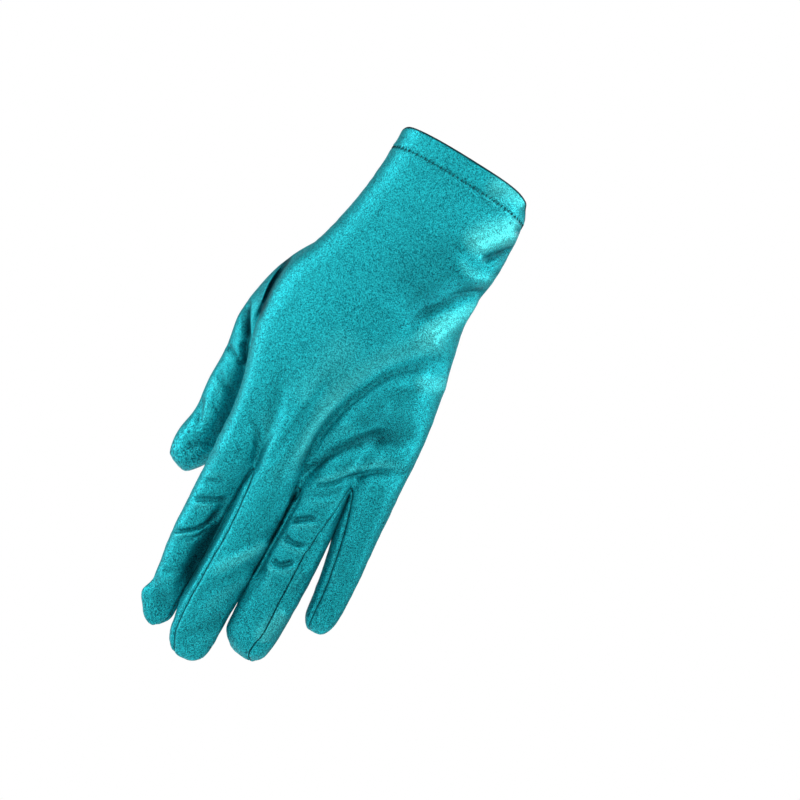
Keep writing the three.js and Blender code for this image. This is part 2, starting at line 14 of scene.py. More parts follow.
import bmesh
import bpy
import numpy as np
from mathutils import Matrix, Vector, noise
from mathutils.bvhtree import BVHTree
from mathutils.kdtree import KDTree


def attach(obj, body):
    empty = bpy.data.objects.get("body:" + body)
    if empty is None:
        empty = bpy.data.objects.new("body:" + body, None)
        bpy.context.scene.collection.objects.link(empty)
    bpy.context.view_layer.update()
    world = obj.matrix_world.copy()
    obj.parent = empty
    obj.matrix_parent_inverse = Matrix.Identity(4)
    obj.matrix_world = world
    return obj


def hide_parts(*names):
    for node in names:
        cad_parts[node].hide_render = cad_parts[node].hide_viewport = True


MM = 0.001

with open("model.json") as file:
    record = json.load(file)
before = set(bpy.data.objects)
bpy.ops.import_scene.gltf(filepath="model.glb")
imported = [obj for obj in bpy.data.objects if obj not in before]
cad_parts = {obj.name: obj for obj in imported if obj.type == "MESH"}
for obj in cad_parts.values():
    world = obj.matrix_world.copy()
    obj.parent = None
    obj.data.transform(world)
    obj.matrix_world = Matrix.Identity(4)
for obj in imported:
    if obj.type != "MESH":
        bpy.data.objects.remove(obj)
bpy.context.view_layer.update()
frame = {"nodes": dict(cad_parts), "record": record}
PANELS = (
    "back_panel",
    "palm_panel",
    "fourchette_index_middle",
    "fourchette_middle_ring",
    "fourchette_ring_little",
    "thumb",
    "cuff_hem",
)
print("panels in the frame:", len(PANELS))

# %% [markdown]
# ## The outer face of each panel
# A CAD panel is a closed shell with an outer face, an inner face and a narrow wall between them.
# The folds and the smoothing are wanted on one skin only, so the outer face is picked out first. It
# could be picked face by face, but a rule is safer: a ray that leaves an inner face meets the cloth
# on the other side of the glove, and one that leaves an outer face meets no cloth, or passes
# through a whole finger and so through two walls.

# %% Copies of the panels, merged
SAME_CORNER = 0.001 * MM


def merged_copy(node):
    shell = bmesh.new()
    shell.from_mesh(frame["nodes"][node].data)
    bmesh.ops.remove_doubles(shell, verts=shell.verts, dist=SAME_CORNER)
    shell.normal_update()
    return shell


shells = {node: merged_copy(node) for node in PANELS}
solids = [BVHTree.FromBMesh(shell) for shell in shells.values()]
print("corners in the copies:", sum(len(shell.verts) for shell in shells.values()))

# %% Rays that count cloth
CLEAR = 0.02 * MM


def walls_met(start, direction):
    """How many walls of cloth a ray passes: each has two faces."""
    faces_met = 0
    for solid in solids:
        point = start
        while True:
            hit = solid.ray_cast(point, direction)[0]
            if hit is None:
                break
            faces_met += 1
            point = hit + direction * CLEAR
    return faces_met // 2


through_wrist = walls_met(Vector((10, -200, -30)) * MM, Vector((0, 1, 0)))
print("walls that a ray through the wrist meets:", through_wrist)

# %% Corners of the inner faces
THICKEST_WALL = 3.2 * MM
ALIGNED = 0.7
VOTE_ROUNDS = 4
RAY_LEANS = [
    Vector(lean)
    for lean in (
        (0, 0, 0),
        (0.35, 0, 0.1),
        (-0.35, 0, -0.2),
        (0, 0.35, -0.3),
        (0, -0.35, -0.15),
        (0.1, 0.1, -0.45),
    )
]


def is_face_of_cloth(face, solid):
    """Whether the other side of a wall lies close behind a face, looking the other way."""
    centre = face.calc_center_median()
    hit, normal = solid.ray_cast(centre - face.normal * CLEAR, -face.normal, THICKEST_WALL)[:2]
    return hit is not None and normal.dot(-face.normal) > ALIGNED


def inner_corners(shell, solid):
    """The corners of a shell whose faces look into the glove. Neighbours share their votes."""
    votes = {}
    for face in shell.faces:
        if is_face_of_cloth(face, solid):
            start = face.calc_center_median() + face.normal * CLEAR * 2
            odd = sum(walls_met(start, (face.normal + lean).normalized()) % 2 for lean in RAY_LEANS)
            votes[face] = (odd / len(RAY_LEANS) - 0.5) * face.calc_area()
    for _ in range(VOTE_ROUNDS):
        tally = {
            corner: sum(votes.get(face, 0) for face in corner.link_faces) for corner in shell.verts
        }
        votes = {face: sum(tally[corner] for corner in face.verts) for face in votes}
    return {corner for corner, vote in tally.items() if vote > 0}


inner = {node: inner_corners(shell, solid) for (node, shell), solid in zip(shells.items(), solids)}
print("inner corners:", {node: len(corners) for node, corners in inner.items()})

# %% The outer faces in one net
# Faces of the hem that look up more than this belong to its fold, and Solidify makes that again.
RIM_SLOPE = 0.6

net = bmesh.new()
for number, (node, shell) in enumerate(shells.items()):
    unwanted = [
        face
        for face in shell.faces
        if any(corner in inner[node] for corner in face.verts)
        or (node == "cuff_hem" and face.normal.z > RIM_SLOPE)
    ]
    bmesh.ops.delete(shell, geom=unwanted, context="FACES")
    for face in shell.faces:
        face.material_index = number
        face.smooth = True
    skin = bpy.data.meshes.new(node + "_skin")
    shell.to_mesh(skin)
    net.from_mesh(skin)
    print(node, "outer faces:", len(shell.faces))

# %% Panels welded at their edges
WELD = 0.45 * MM
TIP_WELD = 1.35 * MM
TIP_HEIGHT = 3.2 * MM
FINGER_REACH = 10 * MM
WRIST_BOTTOM = -100 * MM


def tip_corners(skin):
    """The corners at the fingertips: nothing within a finger's reach lies much lower."""
    tree = KDTree(len(skin.verts))
    for number, corner in enumerate(skin.verts):
        tree.insert(corner.co, number)
    tree.balance()
    tips = []
    for corner in skin.verts:
        lowest = min(found[0].z for found in tree.find_range(corner.co, FINGER_REACH))
        if corner.co.z < min(WRIST_BOTTOM, lowest + TIP_HEIGHT):
            tips.append(corner)
    return tips


open_corners = [corner for corner in net.verts if corner.is_boundary]
bmesh.ops.remove_doubles(net, verts=open_corners, dist=WELD)
open_tips = [corner for corner in net.verts if corner.is_boundary and corner.co.z < WRIST_BOTTOM]
bmesh.ops.remove_doubles(net, verts=open_tips, dist=TIP_WELD)
bmesh.ops.remove_doubles(net, verts=tip_corners(net), dist=TIP_WELD)
print("one skin with open edges:", sum(edge.is_boundary for edge in net.edges))
print("edges with more than two faces:", sum(len(edge.link_faces) > 2 for edge in net.edges))

# %% Triangles joined into larger faces
JOIN_ANGLE = math.radians(40)
SHAPE_ANGLE = math.radians(60)

bmesh.ops.join_triangles(
    net,
    faces=net.faces,
    cmp_materials=True,
    angle_face_threshold=JOIN_ANGLE,
    angle_shape_threshold=SHAPE_ANGLE,
)
three_corners = sum(len(face.verts) == 3 for face in net.faces)
print("faces:", len(net.faces), "and those with three corners:", three_corners)

# %% [markdown]
# ## Fingers that touch
# The CAD model keeps its fingers a millimetre or two apart, because its solids stay clear of each
# other. In the photograph the side strips of neighbouring fingers press against each other from the
# crotch down, and part only near the tips. A cloth simulation would press them together too, but
# it is slow and shifts the seams. So each corner of a strip looks for the cloth across the gap and
# moves half of the way there.

# %% Closing the gaps
# The height in mm at which the two fingers beside a strip are apart, and how far above it they meet.
PARTED_AT = {
    "fourchette_index_middle": -214,
    "fourchette_middle_ring": -203,
    "fourchette_ring_little": -166,
}
PARTING = 9
WIDE_GAP = 3.2 * MM
WIDEST_GAP = 5.5 * MM


def ease(value, low, high):
    share = min(max((value - low) / (high - low), 0), 1)
    return share * share * (3 - 2 * share)


net.normal_update()
net_tree = BVHTree.FromBMesh(net)
moves = {}
for node, parted_at in PARTED_AT.items():
    strip = PANELS.index(node)
    for corner in net.verts:
        own = [face for face in corner.link_faces if face.material_index == strip]
        if own:
            facing = sum((face.normal * face.calc_area() for face in own), Vector()).normalized()
            distance = net_tree.ray_cast(corner.co + facing * CLEAR, facing, WIDEST_GAP)[3]
            if distance is not None:
                share = ease(corner.co.z / MM, parted_at, parted_at + PARTING)
                share *= 1 - ease(distance, WIDE_GAP, WIDEST_GAP)
                moves[corner] = facing * distance / 2 * share
for corner, move in moves.items():
    corner.co += move
print("corners moved:", len(moves), "by up to, in m:", max(move.length for move in moves.values()))

# %% [markdown]
# ## Flat patterns
# Cloth is cut flat, so its weave lies flat on the cut. Unwrapping each panel gives that shape back:
# the skin is cut open where the real one is sewn, and the thumb and the hem, which are tubes, get
# one more cut down their hidden side. The unwrapped map is later turned so that the threads run
# along the glove, and scaled to real metres.

# %% Cuts for the flat patterns
THUMB = PANELS.index("thumb")
HEM = PANELS.index("cuff_hem")


def cut_upward(corner, panel):
    """Mark a cut in a panel from one corner up to its edge, always along the steepest edge."""
    while True:
        rising = [
            edge
            for edge in corner.link_edges
            if not edge.seam
            and edge.other_vert(corner).co.z > corner.co.z
            and all(face.material_index == panel for face in edge.link_faces)
        ]
        if not rising:
            return
        steepest = max(rising, key=lambda edge: (edge.other_vert(corner).co - corner.co).normalized().z)
        steepest.seam = True
        corner = steepest.other_vert(corner)
        if any(edge.is_boundary or (edge.seam and edge is not steepest) for edge in corner.link_edges):
            return


for edge in net.edges:
    edge.seam = len({face.material_index for face in edge.link_faces}) > 1
thumb_corners = {corner for face in net.faces if face.material_index == THUMB for corner in face.verts}
cut_upward(min(thumb_corners, key=lambda corner: corner.co.z), THUMB)
hem_seam = [
    corner
    for corner in net.verts
    if {HEM, PANELS.index("palm_panel")} <= {face.material_index for face in corner.link_faces}
]
cut_upward(max(hem_seam, key=lambda corner: corner.co.y), HEM)
print("cut edges:", sum(edge.seam for edge in net.edges))

# %% The net as an object, unwrapped
def placed(name, data):
    """A new object in the scene, with this data."""
    made = bpy.data.objects.new(name, data)
    bpy.context.scene.collection.objects.link(made)
    return made


net_mesh = bpy.data.meshes.new("glove_net")
net.to_mesh(net_mesh)
net_object = placed("glove_net", net_mesh)
bpy.context.view_layer.objects.active = net_object
net_object.select_set(True)
bpy.ops.object.mode_set(mode="EDIT")
bpy.ops.mesh.select_all(action="SELECT")
bpy.ops.uv.unwrap(method="ANGLE_BASED", margin=0.01)
bpy.ops.object.mode_set(mode="OBJECT")
net_mesh.uv_layers.active.name = "weave"
print("corners unwrapped:", len(net_mesh.uv_layers["weave"].data))

# %% [markdown]
# ## Rounding the net
# Subdivision Surface rounds the coarse facets, but it also draws a net in, as a stretched cloth
# cuts its corners. So the net is first pushed out by what the rounding takes away, three times
# over, and the round surface then passes close to the corners that CAD gave it.

# %% A round skin through the CAD corners
ROUNDING = 2
PUSHES = 3
MOST_PUSH = 0.5 * MM


def corners_of(mesh, what="co"):
    """The place of every corner of a mesh, or its normal."""
    flat = np.empty(len(mesh.vertices) * 3)
    mesh.vertices.foreach_get(what, flat)
    return flat.reshape(-1, 3)


def rounded(piece):
    bpy.context.view_layer.update()
    finished = piece.evaluated_get(bpy.context.evaluated_depsgraph_get())
    return bpy.data.meshes.new_from_object(finished)


subdivision = net_object.modifiers.new("rounding", "SUBSURF")
subdivision.levels = subdivision.render_levels = ROUNDING
wanted = corners_of(net_mesh)
push = np.zeros_like(wanted)
for _ in range(PUSHES):
    missed = wanted - corners_of(rounded(net_object))[: len(wanted)]
    push += missed
    too_far = np.maximum(np.linalg.norm(push, axis=1) / MOST_PUSH, 1)
    push /= too_far[:, None]
    net_mesh.vertices.foreach_set("co", (wanted + push).ravel())
    net_mesh.update()
    print("the rounding misses by, in mm:", round(float(np.linalg.norm(missed, axis=1).mean()) / MM, 3))
round_mesh = rounded(net_object)
bpy.data.objects.remove(net_object)

# %% Finer where the faces are long
LONGEST_EDGE = 1.1 * MM
SOFTENING = 0.35
ALL_AXES = {"use_axis_x": True, "use_axis_y": True, "use_axis_z": True}

fine = bmesh.new()
fine.from_mesh(round_mesh)
long_edges = [edge for edge in fine.edges if edge.calc_length() > LONGEST_EDGE]
bmesh.ops.subdivide_edges(fine, edges=long_edges, cuts=1, use_grid_fill=True)
inside_skin = [corner for corner in fine.verts if not corner.is_boundary]
bmesh.ops.smooth_vert(fine, verts=inside_skin, factor=SOFTENING, **ALL_AXES)
for face in fine.faces:
    face.smooth = True
print("fine skin:", len(fine.faces), "faces")

# %% Smooth fingertips
TIP_SMOOTHING = 8
TIP_SOFTENING = 0.5

tips = tip_corners(fine)
for _ in range(TIP_SMOOTHING):
    bmesh.ops.smooth_vert(fine, verts=tips, factor=TIP_SOFTENING, **ALL_AXES)
print("fingertip corners:", len(tips))

# %% [markdown]
# ## Fingertips that aren't filled
# A glove's fingertips are longer than the fingers in them, so the empty cloth at the end bends into
# a point or a corner. A sculpting brush could grab it, and a table of pulls is the same brush in
# numbers. Each pull moves the skin around one place, less and less towards the end of its reach,
# and the seams go with it.

# %% Pulled fingertips
# All columns are in mm: the place, how far round it the pull reaches, and how far it moves the skin.
PULL_COLUMNS = ("across", "along", "reach", "right", "down")
PULLS = {
    "point of the index finger": (-26.4, -222, 4.0, 0.0, 2.6),
    "outer corner of the index finger": (-35, -214, 3.2, -0.9, 0.4),
    "inner corner of the index finger": (-21, -218, 3.4, 0.5, 1.2),
    "tip of the middle finger": (-8, -229, 7.0, 0.0, 1.2),
    "tip of the ring finger": (9, -216, 8.0, 0.0, 1.9),
    "tip of the little finger": (32, -195, 8.0, -0.4, 1.9),
    "tip of the thumb": (-46, -163, 6.0, 0.0, 1.6),
}
pulls = [dict(zip(PULL_COLUMNS, row)) for row in PULLS.values()]


def pulled(place):
    moved = place.copy()
    for pull in pulls:
        away = math.hypot(place.x / MM - pull["across"], place.z / MM - pull["along"])
        share = math.exp(-((away / pull["reach"]) ** 2)) * MM
        moved.x += pull["right"] * share
        moved.z -= pull["down"] * share
    return moved


for corner in fine.verts:
    if corner.co.z < WRIST_BOTTOM:
        corner.co = pulled(corner.co)
print("pulls:", list(PULLS))

# %% [markdown]
# ## The camera
# The glove stands aslant in the photograph and hardly tapers with distance, so the camera is far
# away, has a long lens and is rolled. It could be placed last, but the paths of the folds are
# measured in its view, on the plane between back and palm, so it comes before them.

# %% A camera at the photograph's angle
CAMERA_DISTANCE = 1600 * MM
CAMERA_ROLL = math.radians(28)
VIEW_CENTRE = Vector((19.9, 0, -98.7)) * MM
LENS = 180
SENSOR = 36

camera_data = bpy.data.cameras.new("camera")
camera_data.lens = LENS
camera_data.sensor_width = SENSOR
camera = placed("camera", camera_data)
camera.matrix_world = Matrix.Translation(VIEW_CENTRE + Vector((0, -CAMERA_DISTANCE, 0))) @ Matrix(
    (
        (math.cos(CAMERA_ROLL), -math.sin(CAMERA_ROLL), 0, 0),
        (0, 0, -1, 0),
        (math.sin(CAMERA_ROLL), math.cos(CAMERA_ROLL), 0, 0),
        (0, 0, 0, 1),
    )
)
bpy.context.scene.camera = camera
print("camera at", tuple(round(value, 3) for value in camera.matrix_world.translation))


def on_middle_plane(points):
    """Where the camera's line through each point meets the plane between back and palm."""
    reach = CAMERA_DISTANCE / (CAMERA_DISTANCE + points[:, 1])
    across = VIEW_CENTRE.x + (points[:, 0] - VIEW_CENTRE.x) * reach
    along = VIEW_CENTRE.z + (points[:, 2] - VIEW_CENTRE.z) * reach
    return np.stack((across, along), axis=1) / MM


# %% [markdown]
# ## Folds
# Worn satin folds where it bends: long creases fan out from the gaps between the fingers over the
# knuckles, short ones cross the finger joints, and soft hollows lie beside the wrist. Each fold is
# a row of a table: a path as the camera sees it, how deep the valley is and how wide, and the ridge
# that the pushed-away cloth makes beside it. The folds of the palm are drawn as seen straight from
# their own side. Moving the corners of the fine skin along their normals is quicker than a cloth
# simulation, and it puts each fold where it belongs. The slits have a table of their own: they lie
# on cloth that faces sideways, where a move along the normal would hardly show, so they are pressed
# straight away from the camera.

# %% The columns of the fold tables
# Paths are (across, along) in mm on the middle plane, from the sharp end of a fold to its soft end.
# Widths, depths and ridges are in mm too. Spread is how many times wider the fold is at its soft end.
# Ridge_at is the ridge's distance from the path: above 0 it lies on the left of someone who walks
# along the path.
# A fold's depth also paints shade into the cloth's colour, and its ridge a painted sheen, in the satin
# finish.
FOLD_COLUMNS = ("depth", "width", "spread", "ridge", "ridge_at", "ridge_width", "path")


def swell(ridge, ridge_width, path):
    """A row for cloth that only swells up along a path, with no valley beside it."""
    return (0, 1, 1, ridge, 0, ridge_width, path)


def hollow(depth, width, spread, path):
    """A row for cloth that only sinks along a path, with no ridge beside it."""
    return (depth, width, spread, 0, 2, 1, path)


print("a fold has", len(FOLD_COLUMNS), "columns")

# %% Folds over the knuckles
KNUCKLE_FOLDS = {
    "long knuckle crease": (
        1.35, 1.1, 2.6, 0.8, 3, 2,
        ((0.6, -149), (-1, -141), (-1.6, -134), (-1.5, -126), (0.2, -117), (2.4, -109),
         (5.4, -102.4), (9.4, -94.8), (14, -88.8), (20.6, -82.8), (28, -78.2), (37, -75)),
    ),
    "swell below the long crease": swell(1, 3.4, ((36, -86), (28, -87.5), (20, -91))),
    "middle knuckle crease": (
        2, 1.1, 3.2, 0.2, 3.2, 2,
        ((0.7, -147), (1.2, -142), (2.4, -137), (5, -131), (10.2, -124.5), (15, -119.6),
         (20.5, -115.2), (29, -111), (36, -108.6)),
    ),
    "hollow above the middle crease": hollow(
        0.8, 3, 1, ((8, -117), (14, -111.5), (22, -108), (31, -105)),
    ),
    "little knuckle crease": (
        1.2, 0.75, 1.9, 0.7, 1.8, 1.2,
        ((3, -145.4), (6, -144.4), (9, -143), (12.5, -140.2), (16.5, -135.8), (20.5, -132.2),
         (25.4, -128.4), (30.4, -126.2), (38, -123.6)),
    ),
    "root of the ring finger": (
        0.5, 1.4, 1.2, 0.2, -2.6, 1.8, ((2, -148.5), (8, -148), (13, -145.5), (18, -140)),
    ),
    "crotch hollow": hollow(1, 1.4, 1, ((0.2, -145), (0.8, -150), (1.4, -156))),
    "index knuckle crease": (
        0.9, 1.3, 1.8, 0.3, -3, 2.6,
        ((-18.6, -150.5), (-20.4, -145), (-23, -139), (-26, -135.5), (-31, -133)),
    ),
    "middle knuckle": swell(
        0.25, 3.6, ((-12, -156), (-8.5, -141), (-6, -128), (-4.2, -114), (-2.8, -102), (-2, -90)),
    ),
    "hollow by the middle knuckle": hollow(
        0.6, 2, 1, ((-15.6, -150), (-12.6, -132), (-10.8, -116), (-9, -98)),
    ),
}
print("folds over the knuckles:", len(KNUCKLE_FOLDS))

# %% Folds of the wrist and the middle of the back
WRIST_FOLDS = {
    "wrist fold": (
        1, 1.3, 2, 1.6, 4.6, 3.2,
        ((33, -43.5), (28, -46), (22, -51), (17, -57), (12.5, -63.5), (10, -70), (9, -78)),
    ),
    "bulge of the wrist": swell(0.6, 4, ((24, -58), (20, -66), (17, -74), (14, -80))),
    "upper wrist hollow": (
        2.4, 2.2, 0.8, 0.5, -5.4, 2.8, ((34, -23.5), (30, -27), (26, -31), (22, -35.5)),
    ),
    "swell below the hollow": swell(1.3, 3, ((32, -39), (25, -41), (18, -40.5), (12, -34))),
    "swell below the hem": swell(2.4, 5, ((31, -16.5), (24, -20.5), (18, -27.2), (14.6, -35.8))),
    "soft hollow of the wrist": hollow(
        1, 6, 1.2, ((34, -42), (24, -47), (17, -54), (11, -62), (7, -72)),
    ),
    "broad hollow of the wrist": hollow(0.8, 9, 1, ((22, -36), (9, -43), (1, -54), (-4, -70))),
    "swell of the hem": swell(1.5, 4.6, ((30, -6), (24, -4.5), (17, -5), (8, -7))),
    "swell above the knuckles": swell(0.5, 7, ((-14, -122), (-11.5, -106), (-10, -92), (-9, -80))),
    "hollow beside the long crease": hollow(
        0.5, 3.4, 1, ((4.5, -117), (9, -106), (17, -98), (27, -92)),
    ),
    "dent below the hem": (
        0.5, 1.1, 1.2, 0.5, -2.6, 1.8, ((33, -16.5), (29.5, -17), (26, -18), (22, -20.5)),
    ),
}
print("folds of the wrist:", len(WRIST_FOLDS))

# %% Folds of the fingers
FINGER_FOLDS = {
    "index wrinkle 1": (1, 1.1, 1.2, 0.3, 2, 1.3, ((-34.5, -164), (-30.5, -162.3), (-26, -160))),
    "index wrinkle 2": (
        1.5, 1.1, 1.3, 0.5, -2.4, 1.4, ((-35, -172.5), (-30.5, -170.5), (-26, -168.5), (-21, -166)),
    ),
    "index wrinkle 3": (
        1.9, 0.7, 1.4, 0.6, -1.6, 1.2,
        ((-37, -188), (-32, -185.5), (-27.5, -182), (-24, -177), (-21, -170)),
    ),
    "index wrinkle 4": (1.1, 0.9, 1.2, 0.3, -1.8, 1.2, ((-31.5, -188.5), (-27, -186), (-23, -181))),
    "index wrinkle 5": (0.7, 1.5, 1.3, 0.3, -2.6, 1.8, ((-32, -204), (-27.5, -201.5), (-22.5, -196.5))),
    "hollow of the index fingertip": hollow(0.8, 2.8, 1, ((-36, -208), (-29, -212), (-21, -216))),
    "inner side of the index": hollow(
        1.6, 2.4, 1.2, ((-22, -162), (-23, -172), (-23.6, -186), (-23, -199), (-22.4, -216)),
    ),
    "middle band 1": (0.5, 1.9, 1.3, 0.3, 3.4, 2.2, ((1, -167), (-4, -176), (-8, -180), (-14, -188))),
    "middle band 2": (
        0.6, 2.4, 1.2, 0.35, 4.2, 2.4, ((1, -182), (-5, -190), (-9, -195.5), (-13, -203), (-16, -213)),
    ),
    "middle band 3": (0.9, 2.2, 1.2, 0.2, 3.4, 1.8, ((0, -206), (-5, -213), (-10, -220), (-14, -226))),
    "swell of the middle finger": swell(0.8, 2.8, ((0, -172), (-5, -181), (-10, -189), (-14, -199))),
    "ring wrinkle 1": (
        1.8, 1.2, 1.2, 0.5, -2.3, 1.3, ((2.8, -162), (6, -160.2), (9.5, -158), (14.5, -155.5)),
    ),
    "ring wrinkle 2": (
        1.6, 1, 1.2, 0.45, -2.1, 1.2, ((3, -167.6), (7.5, -169.3), (11, -169), (16, -167)),
    ),
    "ring wrinkle 3": (
        1.8, 1.1, 1.3, 0.5, -2.1, 1.3, ((3.6, -178.4), (7.5, -179.8), (10.4, -178.4), (14, -174.5)),
    ),
    "ring hollow": (0.5, 1.5, 1.3, 0.25, 2.6, 1.6, ((2.4, -181), (4.2, -188), (5.4, -196))),
    "swell of the ring finger": swell(1.3, 2.7, ((19, -194), (16.5, -203), (14, -212))),
    "ring strip hollow": (0.5, 1.2, 1.2, 0.2, -1.9, 1.3, ((20.4, -176), (19.6, -184), (17.5, -191))),
    "ring tip gather": (0.35, 0.8, 1.2, 0.15, 1.5, 1, ((14.5, -211.5), (18, -210), (21, -207.2))),
    "little hollow": (0.35, 2.2, 1.2, 0.2, -3.6, 2.2, ((27, -160), (31, -168), (37, -174))),
    "little tip gather": (0.4, 0.7, 1.3, 0.15, 1.4, 0.9, ((30, -188.5), (31.7, -194))),
}
BACK_FOLDS = KNUCKLE_FOLDS | WRIST_FOLDS | FINGER_FOLDS
print("folds of the back:", len(BACK_FOLDS))

# %% Folds of the thumb
THUMB_FOLDS = {
    "thumb fold 1": (
        3.6, 1.4, 1, 0.3, 2.8, 1.4, ((-54, -91), (-51, -97.5), (-48, -102.5), (-43.8, -108.5)),
    ),
    "thumb fold 2": (2.4, 1.4, 1.3, 0.2, -2.4, 1.2, ((-47, -106.5), (-44, -110.5), (-40, -116))),
    "thumb fold 3": (1.4, 0.7, 1.5, 0.25, -1.5, 1, ((-53, -110.5), (-47, -114), (-40, -116.5))),
    "thumb fold 4": (0.9, 1.5, 1.3, 0.3, -2.6, 1.8, ((-51, -122), (-45, -125.5), (-38, -129.5))),
    "thumb fold 5": (0.45, 0.8, 1.3, 0.2, -1.6, 1.1, ((-47, -134), (-42, -137.5), (-37, -140.5))),
    "thumb fold 6": (1.1, 1.2, 1.2, 0.3, 2, 1.3, ((-51, -134), (-48.8, -140), (-46.2, -147))),
    "thumb fold 7": (1.1, 2, 1.2, 0.3, 2.8, 1.8, ((-37.5, -148), (-42, -152), (-48, -156))),
    "inner side of the thumb": hollow(
        1.5, 3.6, 1, ((-42, -110), (-39.5, -124), (-38, -138), (-37.3, -154)),
    ),
}
print("folds of the thumb:", len(THUMB_FOLDS))

# %% Slits between the fingers and beside the thumb
SLITS = {
    "slit beside the thumb": hollow(
        5, 0.95, 1, ((-45.4, -66.5), (-46.5, -74), (-47, -81), (-46.6, -89), (-45.2, -99)),
    ),
    "shade between index and middle finger": hollow(
        2, 1.6, 1, ((-20.6, -172), (-21, -184), (-21.2, -196), (-20.8, -208)),
    ),
    "gap between middle and ring finger": hollow(
        1.8, 0.5, 1, ((0.2, -148), (0.7, -158), (0.8, -176), (0.4, -197)),
    ),
    "seam of the strip on the ring finger": hollow(
        1.3, 0.42, 1, ((2.6, -148), (2.8, -158), (2.8, -172), (2.2, -184), (1.6, -194)),
    ),
}
print("slits:", len(SLITS))

# %% Folds of the palm
JOINT = (0.5, 1.2, 1.2, 0.3, 2, 1.4)
TIP_JOINT = (0.4, 1.1, 1.2, 0.2, 1.9, 1.3)
PALM_FOLDS = {
    "heart line": (
        0.7, 2.2, 1.2, 0.4, 3.4, 2.6, ((33, -128), (22, -124), (8, -125), (-6, -132), (-14, -142)),
    ),
    "head line": (
        0.6, 2.2, 1.2, 0.4, 3.4, 2.6, ((28, -104), (14, -108), (0, -112), (-16, -118), (-32, -122)),
    ),
    "ball of the thumb": (
        0.8, 2.8, 1.2, 0.5, -4, 3, ((-30, -112), (-16, -102), (-8, -88), (-6, -72), (-10, -58)),
    ),
    "wrist crease": (0.5, 2, 1, 0.3, 3, 2.2, ((-22, -32), (-6, -35), (12, -34), (24, -30))),
    "index joint": (*JOINT, ((-34, -172), (-28, -173), (-20, -171))),
    "index tip joint": (*TIP_JOINT, ((-34, -196), (-28, -197), (-22, -196))),
    "middle joint": (*JOINT, ((-17, -176), (-9, -177.5), (-1, -176))),
    "middle tip joint": (*TIP_JOINT, ((-17, -203), (-9, -204), (-2, -202))),
    "ring joint": (*JOINT, ((4, -172), (11, -173.5), (19, -172))),
    "ring tip joint": (*TIP_JOINT, ((4, -197), (11, -198), (19, -196))),
    "little joint": (*JOINT, ((24, -160), (31, -161), (38, -159))),
    "little tip joint": (0.4, 1, 1.2, 0.2, 1.8, 1.2, ((27, -178), (33, -179), (39, -177))),
}
print("folds of the palm:", len(PALM_FOLDS))

# %% A fold's path as a curve
PATH_STEPS = 6


def rounded_path(path):
    """A smooth curve through the points of a path, as many short steps."""
    points = np.array(path, dtype=float)
    before = np.vstack((2 * points[0] - points[1], points[:-1]))
    after = np.vstack((points[1:], 2 * points[-1] - points[-2]))
    slopes = (after - before) / 2
    share = np.linspace(0, 1, PATH_STEPS, endpoint=False)[:, None]
    curve = [
        (1 + 2 * share) * (1 - share) ** 2 * start
        + share * (1 - share) ** 2 * leaving
        + share**2 * (3 - 2 * share) * end
        + share**2 * (share - 1) * arriving
        for start, end, leaving, arriving in zip(points, points[1:], slopes, slopes[1:])
    ]
    return np.vstack(curve + [points[-1:]])


print("the wrist fold's path has", len(rounded_path(BACK_FOLDS["wrist fold"][-1])), "steps")

# %% Where each corner lies beside a path
def beside(points, corners):
    """Each point's signed distance from a line of corners, and its place along it from 0 to 1."""
    steps = np.diff(corners, axis=0)
    lengths = np.linalg.norm(steps, axis=1)
    travelled = np.concatenate(([0], np.cumsum(lengths)))
    nearest = np.full(len(points), np.inf)
    signed = np.zeros(len(points))
    place = np.zeros(len(points))
    for corner, step, length, start in zip(corners, steps, lengths, travelled):
        away = points - corner
        share = np.clip(away @ step / length**2, 0, 1)
        distance = np.linalg.norm(away - share[:, None] * step, axis=1)
        closer = distance < nearest
        side = np.where(step[0] * away[:, 1] - step[1] * away[:, 0] < 0, -1, 1)
        nearest = np.where(closer, distance, nearest)
        signed = np.where(closer, distance * side, signed)
        place = np.where(closer, (start + share * length) / travelled[-1], place)
    return signed, place


test_point = np.array([[0.0, 1.0]])
test_path = np.array([[-1.0, 0.0], [1.0, 0.0]])
print("a point 1 mm from the middle of a path:", beside(test_point, test_path))

# %% How far a table of folds lifts the cloth
SHARP_FADE = 0.18
SOFT_FADE = 0.3
FOLD_REACH = 14


def eased(values, low, high):
    share = np.clip((values - low) / (high - low), 0, 1)
    return share * share * (3 - 2 * share)


def lift_of(points, folds):
    """How far each point is lifted by the folds of a table, in mm."""
    lift = np.zeros(len(points))
    for row in folds.values():
        fold = dict(zip(FOLD_COLUMNS, row))
        path = rounded_path(fold["path"])
        low, high = path.min(axis=0) - FOLD_REACH, path.max(axis=0) + FOLD_REACH
        near = np.all((points > low) & (points < high), axis=1)
        signed, place = beside(points[near], path)
        signed /= 1 + (fold["spread"] - 1) * place
        ends = eased(place, 0, SHARP_FADE) * eased(1 - place, 0, SOFT_FADE)
        valley = fold["depth"] * np.exp(-((signed / fold["width"]) ** 2))
        ridge = fold["ridge"] * np.exp(-(((signed - fold["ridge_at"]) / fold["ridge_width"]) ** 2))
        lift[near] += (ridge - valley) * ends
    return lift


print("lift in the middle of the wrist fold, in mm:", lift_of(np.array([[17.0, -57.0]]), BACK_FOLDS))

# %% Which fold reaches which corner
THUMB_LINE = -38 * MM
BACK = PANELS.index("back_panel")
# A fold fades out where the skin turns from its own side to the other.
SIDE_FADE = (-0.15, 0.45)
# A slit fades out later, between these two, because it lies on cloth that faces sideways.
SLIT_FADE = (0, 0.3)
SLIT_TURN = 0.75


